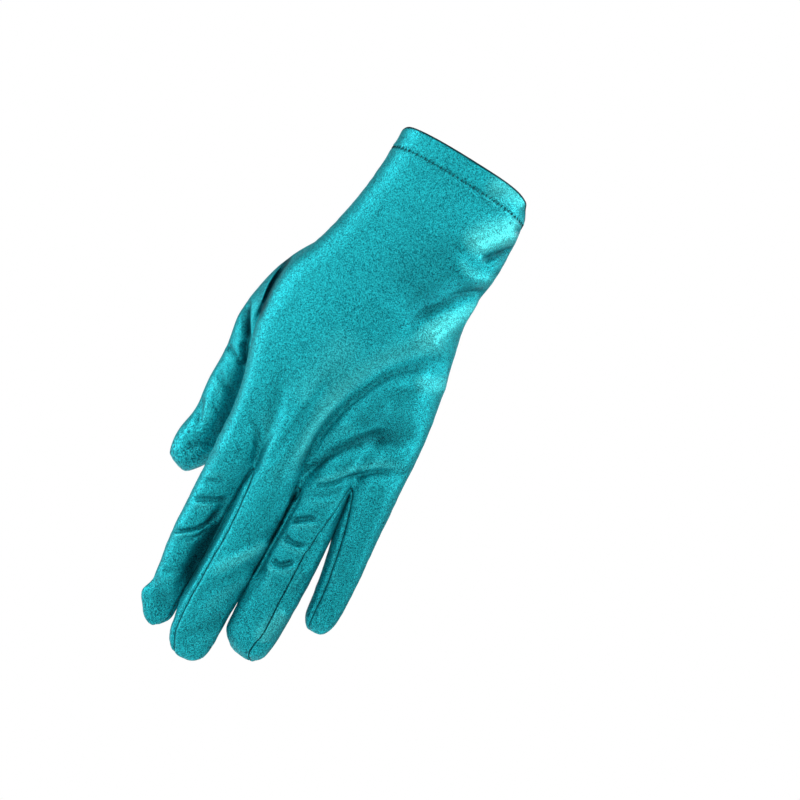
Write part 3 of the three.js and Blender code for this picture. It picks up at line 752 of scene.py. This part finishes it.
def relief_of(skin):
    """How far, in mm, the folds lift each corner along its normal, and the slits towards the camera."""
    skin.normal_update()
    places = np.array([corner.co for corner in skin.verts])
    facing = np.array([corner.normal.y for corner in skin.verts])
    panels = [{face.material_index for face in corner.link_faces} for corner in skin.verts]
    by_thumb = np.array(
        [THUMB in own or (BACK not in own and at[0] < THUMB_LINE) for own, at in zip(panels, places)]
    )
    seen = on_middle_plane(places)
    towards_back = eased(-facing, *SIDE_FADE)
    towards_palm = eased(facing, *SIDE_FADE)
    relief = lift_of(seen, BACK_FOLDS) * towards_back * ~by_thumb
    relief += lift_of(seen, THUMB_FOLDS) * towards_back * by_thumb
    relief += lift_of(places[:, [0, 2]] / MM, PALM_FOLDS) * towards_palm * ~by_thumb
    slit = lift_of(seen, SLITS) * eased(SLIT_TURN - facing, *SLIT_FADE)
    return relief, slit


relief = sum(relief_of(fine))
print("corners in a fold or on a ridge:", int((abs(relief) > 0.1).sum()), "of", len(relief))

# %% Finer across the creases and beside the seams
STEEP = 0.12
SHORT_EDGE = 0.55 * MM

fine.verts.index_update()
sewn = {corner for corner in fine.verts if len({face.material_index for face in corner.link_faces}) > 1}
creased = [
    edge
    for edge in fine.edges
    if edge.calc_length() > SHORT_EDGE
    and (
        abs(relief[edge.verts[0].index] - relief[edge.verts[1].index]) > STEEP
        or (edge.verts[0] in sewn) != (edge.verts[1] in sewn)
    )
]
bmesh.ops.subdivide_edges(fine, edges=creased, cuts=1, use_grid_fill=True)
for face in fine.faces:
    face.smooth = True
relief, slit = relief_of(fine)
fine_mesh = bpy.data.meshes.new("glove_skin")
fine.to_mesh(fine_mesh)
sizes = [0] * len(PANELS)
for face in fine.faces:
    sizes[face.material_index] += len(face.verts) - 2
print("edges split:", len(creased), "and triangles by panel:", dict(zip(PANELS, sizes)))

# %% Folds on the skin
# The cloth is never quite flat: low waves, each with its height and length in mm.
WAVES = ((0.28, 21), (0.12, 9))


def move_out(mesh, lift):
    places = corners_of(mesh) + corners_of(mesh, "normal") * lift[:, None]
    mesh.vertices.foreach_set("co", places.ravel())
    mesh.update()


def keep_on(mesh, name, values):
    attribute = mesh.attributes.new(name, "FLOAT", "POINT")
    attribute.data.foreach_set("value", values.astype(np.float32))


panel_of_face = np.empty(len(fine_mesh.polygons), dtype=np.int32)
fine_mesh.polygons.foreach_get("material_index", panel_of_face)
places = corners_of(fine_mesh)
lift = relief * MM
for height, length in WAVES:
    lift += height * MM * np.array([noise.noise(Vector(place) / (length * MM)) for place in places])
move_out(fine_mesh, lift)
places = corners_of(fine_mesh)
places[:, 1] -= slit * MM
fine_mesh.vertices.foreach_set("co", places.ravel())
fine_mesh.update()
# The relief also drives the painted shade in folds and slits and the painted sheen on ridges, in the
# satin finish.
keep_on(fine_mesh, "relief", relief + slit)
print("folds reach, in mm:", round(float(relief.min()), 2), round(float(relief.max()), 2))

# %% [markdown]
# ## Seams
# The panels are sewn right sides together and turned, so a seam shows as a fine groove with the
# cloth swelling up on both sides, and the thread gathers the cloth into small puckers across it.
# The hem is stitched through from outside, which pulls a shallower line into it. A welt could be
# laid along each seam, but moving the skin itself keeps both panels joined. The distance of each
# corner from the nearest seam is kept as an attribute too: the finish paints shade into the groove with
# it.

# %% Where the seams run
corner_panels = [set() for _ in fine_mesh.vertices]
for face, panel in zip(fine_mesh.polygons, panel_of_face):
    for corner in face.vertices:
        corner_panels[corner].add(int(panel))
panel_seam = [i for i, panels in enumerate(corner_panels) if len(panels - {HEM}) > 1]
hem_line = [i for i, panels in enumerate(corner_panels) if HEM in panels and len(panels) > 1]


def nearest_on(numbers, mesh):
    """For each corner of a mesh, the nearest of the numbered corners and how far off it is, in mm."""
    tree = KDTree(len(numbers))
    for number in numbers:
        tree.insert(mesh.vertices[number].co, number)
    tree.balance()
    found = [tree.find(corner.co) for corner in mesh.vertices]
    points = np.array([hit[0] for hit in found])
    distances = np.array([hit[2] for hit in found])
    return points, distances / MM


seam_points, seam_distance = nearest_on(panel_seam, fine_mesh)
hem_points, hem_distance = nearest_on(hem_line, fine_mesh)
print("corners on seams:", len(panel_seam), "and on the hem line:", len(hem_line))

# %% Grooves and puckers
# All in mm. A pucker's reach is across the seam, and its length along it.
GROOVE = {"depth": 0.5, "width": 0.6, "swell": 0.16, "swell_at": 1.7, "swell_width": 0.9}
HEM_GROOVE = {"depth": 0.4, "width": 0.6, "swell": 0.1, "swell_at": 1.6, "swell_width": 1.0}
PUCKER = {"height": 0.22, "reach": 2.6, "length": 3.2}
HEM_PUCKER = {"height": 0.16, "reach": 2.2, "length": 2.0}


def seam_lift(distance, shape):
    groove = shape["depth"] * np.exp(-((distance / shape["width"]) ** 2))
    rise = shape["swell"] * np.exp(-(((distance - shape["swell_at"]) / shape["swell_width"]) ** 2))
    return (rise - groove) * MM


def pucker_lift(points, distance, shape):
    beats = np.array([noise.noise(Vector(point) / (shape["length"] * MM)) for point in points])
    return shape["height"] * MM * beats * np.exp(-((distance / shape["reach"]) ** 2))


move_out(
    fine_mesh,
    seam_lift(seam_distance, GROOVE)
    + seam_lift(hem_distance, HEM_GROOVE)
    + pucker_lift(seam_points, seam_distance, PUCKER)
    + pucker_lift(hem_points, hem_distance, HEM_PUCKER),
)
FARTHEST = 8
keep_on(fine_mesh, "seam_distance", np.minimum(seam_distance, FARTHEST))
keep_on(fine_mesh, "hem_distance", np.minimum(hem_distance, FARTHEST))
rim = [corner.index for corner in fine.verts if corner.is_boundary]
# The distance from the rim drives a painted shade along the rim, where the folded edge turns away.
keep_on(fine_mesh, "rim_distance", np.minimum(nearest_on(rim, fine_mesh)[1], FARTHEST))
print("a seam's groove is", GROOVE["depth"], "mm deep, and the hem's", HEM_GROOVE["depth"])

# %% [markdown]
# ## Flat sizes
# The unwrapped map keeps the shape of the flat cuts, but not their size or direction. Each panel's
# map is scaled so that it has the panel's real area, and turned so that the threads run from the
# wrist to the fingertips. Its width, length and area are then the flat cut that the panel was made
# from.

# %% The maps as arrays
weave = fine_mesh.uv_layers["weave"]
uv = np.empty(len(weave.data) * 2)
weave.data.foreach_get("uv", uv)
uv = uv.reshape(-1, 2)
loop_corner = np.empty(len(fine_mesh.loops), dtype=np.int32)
fine_mesh.loops.foreach_get("vertex_index", loop_corner)
loop_panel = np.repeat(panel_of_face, [face.loop_total for face in fine_mesh.polygons])
face_area = np.array([face.area for face in fine_mesh.polygons])
heights = corners_of(fine_mesh)[loop_corner, 2]
print("corners on the maps:", len(uv))

# %% The size of a strip
STRIPS = [node for node in PANELS if node.startswith("fourchette")] + ["cuff_hem"]


def cut_length(number):
    """How far it is round a panel laid flat: its open edges and its cuts, each side counted."""
    around = 0.0
    for edge in fine.edges:
        own = [face for face in edge.link_faces if face.material_index == number]
        if own and (len(edge.link_faces) == 1 or edge.seam):
            around += len(own) * edge.calc_length()
    return around


def strip_size(area, around):
    """Width and length of the straight strip with this area and this way round it."""
    half = around / 2
    length = (half + math.sqrt(half * half - 4 * area)) / 2
    return area / length, length


print("a strip that is 34 round and has an area of 16:", strip_size(16, 34))

# %% Turning and scaling the maps
def map_area(number):
    """The area of a panel's map as it was unwrapped."""
    area = 0
    for face in fine_mesh.polygons:
        if panel_of_face[face.index] == number:
            ring = uv[face.loop_start : face.loop_start + face.loop_total]
            onward = np.roll(ring, -1, axis=0)
            area += abs(float((ring[:, 0] * onward[:, 1] - ring[:, 1] * onward[:, 0]).sum())) / 2
    return area


flat_cuts = {}
for number, node in enumerate(PANELS):
    mine = loop_panel == number
    flat_uv = uv[mine] - uv[mine].mean(axis=0)
    up = np.linalg.lstsq(flat_uv, heights[mine] - heights[mine].mean(), rcond=None)[0]
    up /= np.linalg.norm(up)
    turned = np.stack((flat_uv @ np.array((up[1], -up[0])), flat_uv @ up), axis=1)
    area = float(face_area[panel_of_face == number].sum())
    turned *= math.sqrt(area / map_area(number))
    uv[mine] = turned
    width, length = (float(value) for value in turned.max(axis=0) - turned.min(axis=0))
    if node in STRIPS:
        width, length = strip_size(area, cut_length(number))
    flat_cuts[node] = (width, length, area)
    print(node, "flat cut:", round(width, 4), "x", round(length, 4), "m, area", round(area, 5), "m2")
weave.data.foreach_set("uv", uv.ravel())
fine_mesh.update()

# %% [markdown]
# ## Shader words
# A satin finish is mostly shader maths. Written with nodes, it is a long list of boxes and links;
# written with this small class, it reads like the sum that it is. A Value holds one socket, and the
# signs + - * / between values, or a value and a number, add the Math nodes. The Finish class adds
# any other node with one method.

# %% A socket that can be added and multiplied
class Value:
    def __init__(self, finish, socket):
        self.finish = finish
        self.socket = socket

    def maths(self, operation, first, second=0.0, clamp=False):
        return self.finish.node(
            "ShaderNodeMath", {"operation": operation, "use_clamp": clamp}, {0: first, 1: second}
        )

    def __add__(self, other):
        return self.maths("ADD", self, other)

    def __radd__(self, other):
        return self.maths("ADD", other, self)

    def __sub__(self, other):
        return self.maths("SUBTRACT", self, other)

    def __rsub__(self, other):
        return self.maths("SUBTRACT", other, self)

    def __mul__(self, other):
        return self.maths("MULTIPLY", self, other)

    def __rmul__(self, other):
        return self.maths("MULTIPLY", other, self)

    def __truediv__(self, other):
        return self.maths("DIVIDE", self, other)

    def __rtruediv__(self, other):
        return self.maths("DIVIDE", other, self)

    def clamped(self):
        return self.maths("ADD", self, 0.0, clamp=True)


print("signs that a value knows:", sum(word.startswith("__r") for word in vars(Value)))

# %% A finish and its nodes
class Finish:
    def __init__(self, name):
        self.material = bpy.data.materials.new(name)
        self.material.use_nodes = True
        self.tree = self.material.node_tree
        self.tree.nodes.clear()

    def node(self, kind, settings=None, inputs=None, output=0):
        made = self.tree.nodes.new(kind)
        for setting, value in (settings or {}).items():
            setattr(made, setting, value)
        for name, value in (inputs or {}).items():
            if isinstance(value, Value):
                self.tree.links.new(value.socket, made.inputs[name])
            else:
                made.inputs[name].default_value = value
        return Value(self, made.outputs[output]) if made.outputs else None

    def mixed(self, share, first, second):
        """The sockets of a Mix node share their names, so those for colours are taken by number."""
        sockets = {0: share, 6: first, 7: second}
        return self.node("ShaderNodeMix", {"data_type": "RGBA"}, sockets, output=2)


print("a finish can:", [word for word in vars(Finish) if not word.startswith("_")])

# %% [markdown]
# ## The satin finish
# Satin is woven so that long threads float over the others on one side. Each float is a tiny smooth
# rod, so the cloth has a soft coloured shine, and its surface glitters in fine slanted dashes. A
# picture of cloth could be laid on it, but it would repeat, and a pattern of nodes doesn't. A
# metal-like share in the shader gives the coloured shine. The floats are the slanted cells of a
# Voronoi pattern on the weave map, each a little lighter or darker, and shinier or duller, than the
# next, and a noise on the same map gives them their bump. Light and shade are painted into the
# colour as well: raised cloth gets a painted sheen, sunk cloth painted shade, and the groove of each
# seam, the hem's stitched line and the fold of the rim the darkest painted shade, where light hardly
# gets in. The distances and the relief that were kept on the skin drive all that.

# %% The floats of the weave
FLOAT_WIDTH = 0.16 * MM
FLOAT_LENGTH = 0.25 * MM
FLOAT_HEIGHT = 0.1 * MM
FLOAT_SLANT = math.radians(38)


def weave_floats(finish):
    """The floats of the weave: for each a number from 0 to 1, and their bump."""
    weave_map = finish.node("ShaderNodeUVMap", {"uv_map": "weave"})
    slanted = finish.node(
        "ShaderNodeMapping",
        {"vector_type": "TEXTURE"},
        {"Vector": weave_map, "Rotation": (0, 0, FLOAT_SLANT), "Scale": (FLOAT_WIDTH, FLOAT_LENGTH, 1)},
    )
    cells = finish.node(
        "ShaderNodeTexVoronoi",
        {"voronoi_dimensions": "2D"},
        {"Vector": slanted, "Scale": 1},
        output="Color",
    )
    glint = finish.node("ShaderNodeSeparateColor", inputs={"Color": cells})
    floats = finish.node("ShaderNodeTexNoise", inputs={"Vector": slanted, "Scale": 1.3, "Detail": 1})
    bump = finish.node(
        "ShaderNodeBump", inputs={"Strength": 0.5, "Distance": FLOAT_HEIGHT, "Height": floats}
    )
    return glint, bump


print("a float is", FLOAT_LENGTH / MM, "mm long and", FLOAT_WIDTH / MM, "mm wide")

# %% Painted shade along the seams and the rim
# How dark the painted shade is in the seams, along the hem's stitched line and on the rim: above 1 it
# gets wider.
SEAM_PAINTED_SHADE = 0.9
HEM_PAINTED_SHADE = 0.25
RIM_PAINTED_SHADE = 2.1


def kept_on_skin(finish, attribute):
    return finish.node("ShaderNodeAttribute", {"attribute_name": attribute}, output="Fac")


def painted_groove_shade(finish, groove):
    """How much painted shade the cloth gets near a seam, the hem's line or the rim, from 0 to 1. Groove
    is the shade's width in mm.
    """
    shade_along_seam = (SEAM_PAINTED_SHADE - kept_on_skin(finish, "seam_distance") / groove).clamped()
    shade_along_hem = (HEM_PAINTED_SHADE - kept_on_skin(finish, "hem_distance") / groove).clamped()
    shade_along_rim = (RIM_PAINTED_SHADE - kept_on_skin(finish, "rim_distance") / groove).clamped()
    return (shade_along_seam + shade_along_hem + shade_along_rim).clamped()


print("darkness on a seam, the hem's line and the rim:", SEAM_PAINTED_SHADE, HEM_PAINTED_SHADE, min(RIM_PAINTED_SHADE, 1))

# %% The colours of the satin
TEAL_DARK = (0.0, 0.1, 0.13, 1)
TEAL_LIGHT = (0.018, 0.61, 0.69, 1)
# Painted shade: cloth in a fold is darkened towards these colours, the more the deeper it lies.
PAINTED_SHADE_DARK = (0.0, 0.02, 0.032, 1)
PAINTED_SHADE_LIGHT = (0.0, 0.14, 0.17, 1)
# Painted sheen: raised cloth is lightened towards these paler colours, a painted highlight on the
# ridges.
PAINTED_SHEEN_DARK = (0.028, 0.3, 0.35, 1)
PAINTED_SHEEN_LIGHT = (0.14, 1.0, 1.0, 1)
# Painted shade in the grooves of the seams, along the hem's stitched line and on the rim.
PAINTED_GROOVE_SHADE = (0.0, 0.02, 0.028, 1)
CLOUD_SIZE = 22 * MM
CLOUDS = 0.3
PAINTED_SHADE_PER_MM = -0.36
PAINTED_SHEEN_PER_MM = 0.38


def satin_colour(finish, glint, groove, grain):
    """Teal with painted light: a painted sheen on ridges, painted shade in folds and darker painted
    shade in seams. Grain is how much floats differ.
    """
    object_map = finish.node("ShaderNodeTexCoord", output="Object")
    clouds = finish.node(
        "ShaderNodeTexNoise", inputs={"Vector": object_map, "Scale": 1 / CLOUD_SIZE, "Detail": 2}
    )
    share = ((glint - 0.5) * grain + (clouds - 0.5) * CLOUDS + 0.5).clamped()
    relief = kept_on_skin(finish, "relief")
    # Painted shade in the folds and painted sheen on the ridges, both read from the relief in mm.
    painted_fold_shade = (relief * PAINTED_SHADE_PER_MM).clamped()
    painted_ridge_sheen = (relief * PAINTED_SHEEN_PER_MM).clamped()
    level_cloth = finish.mixed(share, TEAL_DARK, TEAL_LIGHT)
    # Painted highlight: ridge cloth is mixed towards the paler sheen colours.
    cloth_with_painted_sheen = finish.mixed(painted_ridge_sheen, level_cloth, finish.mixed(share, PAINTED_SHEEN_DARK, PAINTED_SHEEN_LIGHT))
    cloth_with_painted_shade = finish.mixed(painted_fold_shade, cloth_with_painted_sheen, finish.mixed(share, PAINTED_SHADE_DARK, PAINTED_SHADE_LIGHT))
    return finish.mixed(painted_groove_shade(finish, groove), cloth_with_painted_shade, PAINTED_GROOVE_SHADE)


print("in full shade, a fold is", round(1 / -PAINTED_SHADE_PER_MM, 1), "mm deep")

# %% Satin
ROUGHNESS_SPREAD = 0.2


def satin(name, roughness=0.47, groove=0.44, grain=2.0):
    finish = Finish(name)
    glint, bump = weave_floats(finish)
    cloth = finish.node(
        "ShaderNodeBsdfPrincipled",
        inputs={
            "Base Color": satin_colour(finish, glint, groove, grain),
            "Metallic": 0.7,
            "Roughness": roughness + (0.5 - glint) * ROUGHNESS_SPREAD,
            "Specular IOR Level": 0.2,
            "Sheen Weight": 0.04,
            "Sheen Roughness": 0.4,
            "Sheen Tint": (0.2, 0.85, 0.95, 1),
            "Normal": bump,
        },
    )
    finish.node("ShaderNodeOutputMaterial", inputs={"Surface": cloth})
    return finish.material


SLOTS = {
    "satin_back": satin("satin_back"),
    "satin_palm": satin("satin_palm"),
    "satin_fourchettes": satin("satin_fourchettes"),
    "satin_thumb": satin("satin_thumb", grain=1.3),
    "satin_hem": satin("satin_hem", roughness=0.45),
}
print("finishes:", list(SLOTS))

# %% [markdown]
# ## From one skin to seven pieces
# The fine skin is cut along the seams into the panels that it was made from, so that each has its
# own finish and can be used by itself. Solidify gives each its cloth wall, inwards, so the outside
# keeps its size. The hem is the cloth folded double, so it is thicker, and Bevel rounds its fold.
# Every piece takes the place of its CAD panel.

# %% Cutting the skin into panels
CLOTH = 0.55 * MM
FOLDED_CLOTH = 1.3 * MM
FOLD_ROUNDING = 0.45 * MM
SHARP = math.radians(50)
PANEL_SLOTS = {row["node"]: row["material_slot"] for row in frame["record"]["subparts"]}
pieces = {}
for number, node in enumerate(PANELS):
    cut = bmesh.new()
    cut.from_mesh(fine_mesh)
    others = [face for face in cut.faces if face.material_index != number]
    bmesh.ops.delete(cut, geom=others, context="FACES")
    for face in cut.faces:
        face.material_index = 0
    mesh = bpy.data.meshes.new(node + "_cloth")
    cut.to_mesh(mesh)
    cut.free()
    piece = placed(node + "_cloth", mesh)
    mesh.materials.append(SLOTS[PANEL_SLOTS[node]])
    wall = piece.modifiers.new("cloth wall", "SOLIDIFY")
    wall.thickness = FOLDED_CLOTH if number == HEM else CLOTH
    wall.offset = -1
    if number == HEM:
        fold = piece.modifiers.new("rounded fold", "BEVEL")
        fold.width = FOLD_ROUNDING
        fold.segments = 3
        fold.limit_method = "ANGLE"
        fold.angle_limit = SHARP
    pieces[node] = piece
    print(piece.name, "faces:", len(mesh.polygons))

# %% Each piece in its place
for node, piece in pieces.items():
    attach(piece, "root")
    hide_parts(node)
print("pieces placed:", len(pieces))

# %% [markdown]
# ## Thread
# The hem is held by small upright stitches in a darker thread, about two millimetres apart. The
# seams are sewn from inside, so only short dots of thread show in the groove. A curve could follow
# each seam, but thread shows only where it comes out of the cloth. So each stitch is a little rod
# with rounded ends: a low sphere, stretched and laid on the cloth.

# %% Following a seam from end to end
def chains(numbers, mesh, wanted_edge):
    """The numbered corners of a mesh as lines, each from one end or crossing to the next."""
    linked = {}
    inside = set(numbers)
    for edge in mesh.edges:
        first, second = edge.vertices
        if first in inside and second in inside and wanted_edge(first, second):
            linked.setdefault(first, []).append(second)
            linked.setdefault(second, []).append(first)
    ends = [corner for corner, others in linked.items() if len(others) != 2]
    used = set()
    lines = []
    for start in ends + list(linked):
        for following in linked[start]:
            if (start, following) in used:
                continue
            line = [start, following]
            used |= {(start, following), (following, start)}
            while len(linked[line[-1]]) == 2 and line[-1] != start:
                onward = [other for other in linked[line[-1]] if (line[-1], other) not in used]
                if not onward:
                    break
                used |= {(line[-1], onward[0]), (onward[0], line[-1])}
                line.append(onward[0])
            lines.append(line)
    return lines


hem_lines = chains(hem_line, fine_mesh, lambda a, b: HEM in corner_panels[a] & corner_panels[b])
seam_lines = chains(panel_seam, fine_mesh, lambda a, b: len(corner_panels[a] & corner_panels[b]) > 1)
print("lines on the hem:", len(hem_lines), "and in the seams:", len(seam_lines))

# %% Even steps along a line
STITCH_SPACING = 1.9 * MM


def spaced_along(line, mesh, spacing):
    """Points at even steps along a line of corners, with the line's direction and the cloth's normal."""
    points = [mesh.vertices[corner].co for corner in line]
    normals = [mesh.vertices[corner].normal for corner in line]
    found = []
    due = spacing / 2
    for first, second, normal in zip(points, points[1:], normals):
        step = second - first
        while due <= step.length:
            found.append((first + step.normalized() * due, step.normalized(), normal.copy()))
            due += spacing
        due -= step.length
    return found


hem_places = [
    found for line in hem_lines for found in spaced_along(line, fine_mesh, STITCH_SPACING)
]
seam_places = [
    found for line in seam_lines for found in spaced_along(line, fine_mesh, STITCH_SPACING)
]
print("stitches on the hem:", len(hem_places), "and in the seams:", len(seam_places))

# %% How one stitch lies
THREAD = 0.17 * MM
SEAM_THREAD = 0.12 * MM
HEM_STITCH = {"half": 1.0 * MM, "raised": 0.34 * MM}
SEAM_STITCH = {"half": 0.5 * MM, "raised": 0.03 * MM}
# No two stitches are alike: each leans and stretches by a share of a slow noise.
BEAT_LENGTH = 2.3 * MM
LEAN = 0.1
LEAN_BEAT = 0.4
LENGTH_BEAT = 0.7


def stitch_at(place, along, normal, half, thickness, raised):
    """The matrix that turns a unit sphere into one stitch, lying on the cloth along a direction."""
    across = normal.cross(along).normalized()
    out = along.cross(across)
    turned = Matrix((along * half, across * thickness, out * thickness)).transposed().to_4x4()
    turned.translation = place + out * raised
    return turned


hem_turns = []
for place, along, normal in hem_places:
    beat = noise.noise(place / BEAT_LENGTH)
    across = normal.cross(along).normalized()
    upright = (across + along * (LEAN + LEAN_BEAT * beat)).normalized()
    half = HEM_STITCH["half"] * (1 + LENGTH_BEAT * beat)
    hem_turns.append(stitch_at(place, upright, normal, half, THREAD, HEM_STITCH["raised"]))
seam_turns = [
    stitch_at(place, along, normal, SEAM_STITCH["half"], SEAM_THREAD, SEAM_STITCH["raised"])
    for place, along, normal in seam_places
]
print("a stitch of the hem is", 2 * HEM_STITCH["half"] / MM, "mm long, more or less")

# %% The stitches
BATCH = 40


def thread_piece(name, places):
    """One mesh of stitches, made in batches: a bmesh operator slows down as its mesh grows."""
    stitches = bmesh.new()
    for first in range(0, len(places), BATCH):
        batch = bmesh.new()
        for place in places[first : first + BATCH]:
            bmesh.ops.create_uvsphere(batch, u_segments=6, v_segments=4, radius=1, matrix=place)
        for face in batch.faces:
            face.smooth = True
        part = bpy.data.meshes.new("stitches")
        batch.to_mesh(part)
        batch.free()
        stitches.from_mesh(part)
        bpy.data.meshes.remove(part)
    mesh = bpy.data.meshes.new(name)
    stitches.to_mesh(mesh)
    return placed(name, mesh)


hem_thread = thread_piece("hem_stitches", hem_turns)
seam_thread = thread_piece("seam_stitches", seam_turns)
print("faces of the stitches:", len(hem_thread.data.polygons) + len(seam_thread.data.polygons))

# %% Thread finish
THREAD_DARK = (0.0005, 0.012, 0.016, 1)
THREAD_LIGHT = (0.001, 0.035, 0.042, 1)
TWIST = 0.3 * MM


def thread_finish(name):
    finish = Finish(name)
    object_map = finish.node("ShaderNodeTexCoord", output="Object")
    twist = finish.node(
        "ShaderNodeTexNoise", inputs={"Vector": object_map, "Scale": 1 / TWIST, "Detail": 2}
    )
    fibre = finish.node(
        "ShaderNodeBsdfPrincipled",
        inputs={
            "Base Color": finish.mixed(twist, THREAD_DARK, THREAD_LIGHT),
            "Roughness": 0.7 + (twist - 0.5) * 0.3,
            "Specular IOR Level": 0.2,
        },
    )
    finish.node("ShaderNodeOutputMaterial", inputs={"Surface": fibre})
    return finish.material


thread = thread_finish("dark_thread")
for piece, slot in ((hem_thread, "satin_hem"), (seam_thread, "satin_back")):
    piece.data.materials.append(thread)
    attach(piece, "root")
print("thread on:", hem_thread.name, "and", seam_thread.name)

# %% [markdown]
# ## The flat size of each panel
# Each panel of the real glove is one flat cut of cloth, and a worn glove is stretched over its
# shape. It could be declared as cloth that hangs free, but then it would fall flat. Here the loop
# only looks up the flat size of each panel that was measured above. The hem is the same cloth
# folded over.

# %% The flat size of each panel
for node, piece in pieces.items():
    width, length, area = flat_cuts[node]
    node != "cuff_hem"
print("sheets of cloth:", len(pieces) - 1)

# %% [markdown]
# ## Studio
# The photograph has a white ground and soft light from all round. One bright sky would light the
# glove too evenly, and satin lives from the edges of its lights, so the light comes from separate
# softboxes: left and right, in front and above, and two rim lights a little behind. Three small
# lights give the wrist and the little finger their own shine, one of them through a grid. One more
# softbox lights the palm, which the camera doesn't see. The floor is a plain pale disc, well below
# the glove.

# %% Floor
FLOOR_DROP = 600 * MM
FLOOR_RADIUS = 1200 * MM
PALE = (0.8, 0.8, 0.8, 1)

disc = bmesh.new()
bmesh.ops.create_circle(
    disc,
    cap_ends=True,
    segments=96,
    radius=FLOOR_RADIUS,
    matrix=Matrix.Translation((0, 0, -FLOOR_DROP)),
)
floor_mesh = bpy.data.meshes.new("floor")
disc.to_mesh(floor_mesh)
floor = placed("floor", floor_mesh)
paint = Finish("pale_floor")
matt = paint.node("ShaderNodeBsdfPrincipled", inputs={"Base Color": PALE, "Roughness": 0.9})
paint.node("ShaderNodeOutputMaterial", inputs={"Surface": matt})
floor_mesh.materials.append(paint.material)
print("floor at", round(-FLOOR_DROP, 2))

# %% Lights
# In metres, how far a light stands to the right of the view's centre, above it and towards the camera,
# its width and its height, and then its watts.
LIGHT_COLUMNS = ("right", "up", "near", "width", "height", "watts")
LIGHTS = {
    "left softbox": (-1.1, 0.1, 0.1, 0.5, 0.8, 4.1),
    "high left softbox": (-0.9, 0.7, 0.1, 0.5, 0.6, 3.4),
    "left top softbox": (-0.7, 0.9, 0.6, 0.6, 0.6, 1.8),
    "overhead softbox": (0.0, 1.2, 0.15, 0.8, 0.4, 5.5),
    "high right softbox": (0.9, 0.7, 0.1, 0.5, 0.6, 3.2),
    "low right softbox": (0.9, -0.5, 0.15, 0.5, 0.6, 1.0),
    "left front softbox": (-0.6, 0.3, 1.2, 0.5, 0.5, 3.3),
    "right front softbox": (0.6, 0.3, 1.2, 0.5, 0.5, 4.6),
    "left rim light": (-1.1, 0.2, -0.4, 0.5, 0.8, 1.8),
    "right rim light": (1.1, 0.1, -0.4, 0.5, 0.8, 2.6),
    "wrist light": (0.3, 0.3, 0.15, 0.2, 0.2, 0.4),
    "little finger light": (0.3, -0.05, 0.1, 0.2, 0.2, 0.3),
    "gridded wrist light": (0.35, -0.3, 0.2, 0.12, 0.12, 0.017),
    "palm softbox": (0.5, 0.6, -1.2, 0.8, 0.8, 12.0),
}
# A grid narrows a light's beam to an angle, and aims it at a point of the view, in metres.
GRIDS = {"gridded wrist light": (math.radians(30), Vector((0.036, 0.068, 0)))}
NO_GRID = (math.pi, Vector())
view_turn = camera.matrix_world.to_3x3()
for name, row in LIGHTS.items():
    light = dict(zip(LIGHT_COLUMNS, row))
    place = Vector((light["right"], light["up"], light["near"]))
    data = bpy.data.lights.new(name, "AREA")
    data.shape = "RECTANGLE"
    data.size = light["width"]
    data.size_y = light["height"]
    data.energy = light["watts"]
    lamp = placed(name, data)
    lamp.visible_camera = False
    data.spread, aim = GRIDS.get(name, NO_GRID)
    turn = (view_turn @ (place - aim)).to_track_quat("Z", "Y")
    lamp.matrix_world = Matrix.Translation(VIEW_CENTRE + view_turn @ place) @ turn.to_matrix().to_4x4()
print("lights:", len(LIGHTS))

# %% White ground
# The camera sees the ground white, and the glove gets only a little light from it.
WORLD_SEEN = 1.0
WORLD_LIGHT = 0.15
world = bpy.data.worlds.new("white ground")
world.use_nodes = True
bpy.context.scene.world = world
sky = world.node_tree
sky.nodes.clear()
ground = sky.nodes.new("ShaderNodeBackground")
ground.inputs["Color"].default_value = (1, 1, 1, 1)
rays = sky.nodes.new("ShaderNodeLightPath")
level = sky.nodes.new("ShaderNodeMapRange")
level.inputs["To Min"].default_value = WORLD_LIGHT
level.inputs["To Max"].default_value = WORLD_SEEN
sky.links.new(rays.outputs["Is Camera Ray"], level.inputs["Value"])
sky.links.new(level.outputs["Result"], ground.inputs["Strength"])
sky.links.new(ground.outputs["Background"], sky.nodes.new("ShaderNodeOutputWorld").inputs["Surface"])
bpy.context.scene.view_settings.view_transform = "Standard"
print("ground:", world.name)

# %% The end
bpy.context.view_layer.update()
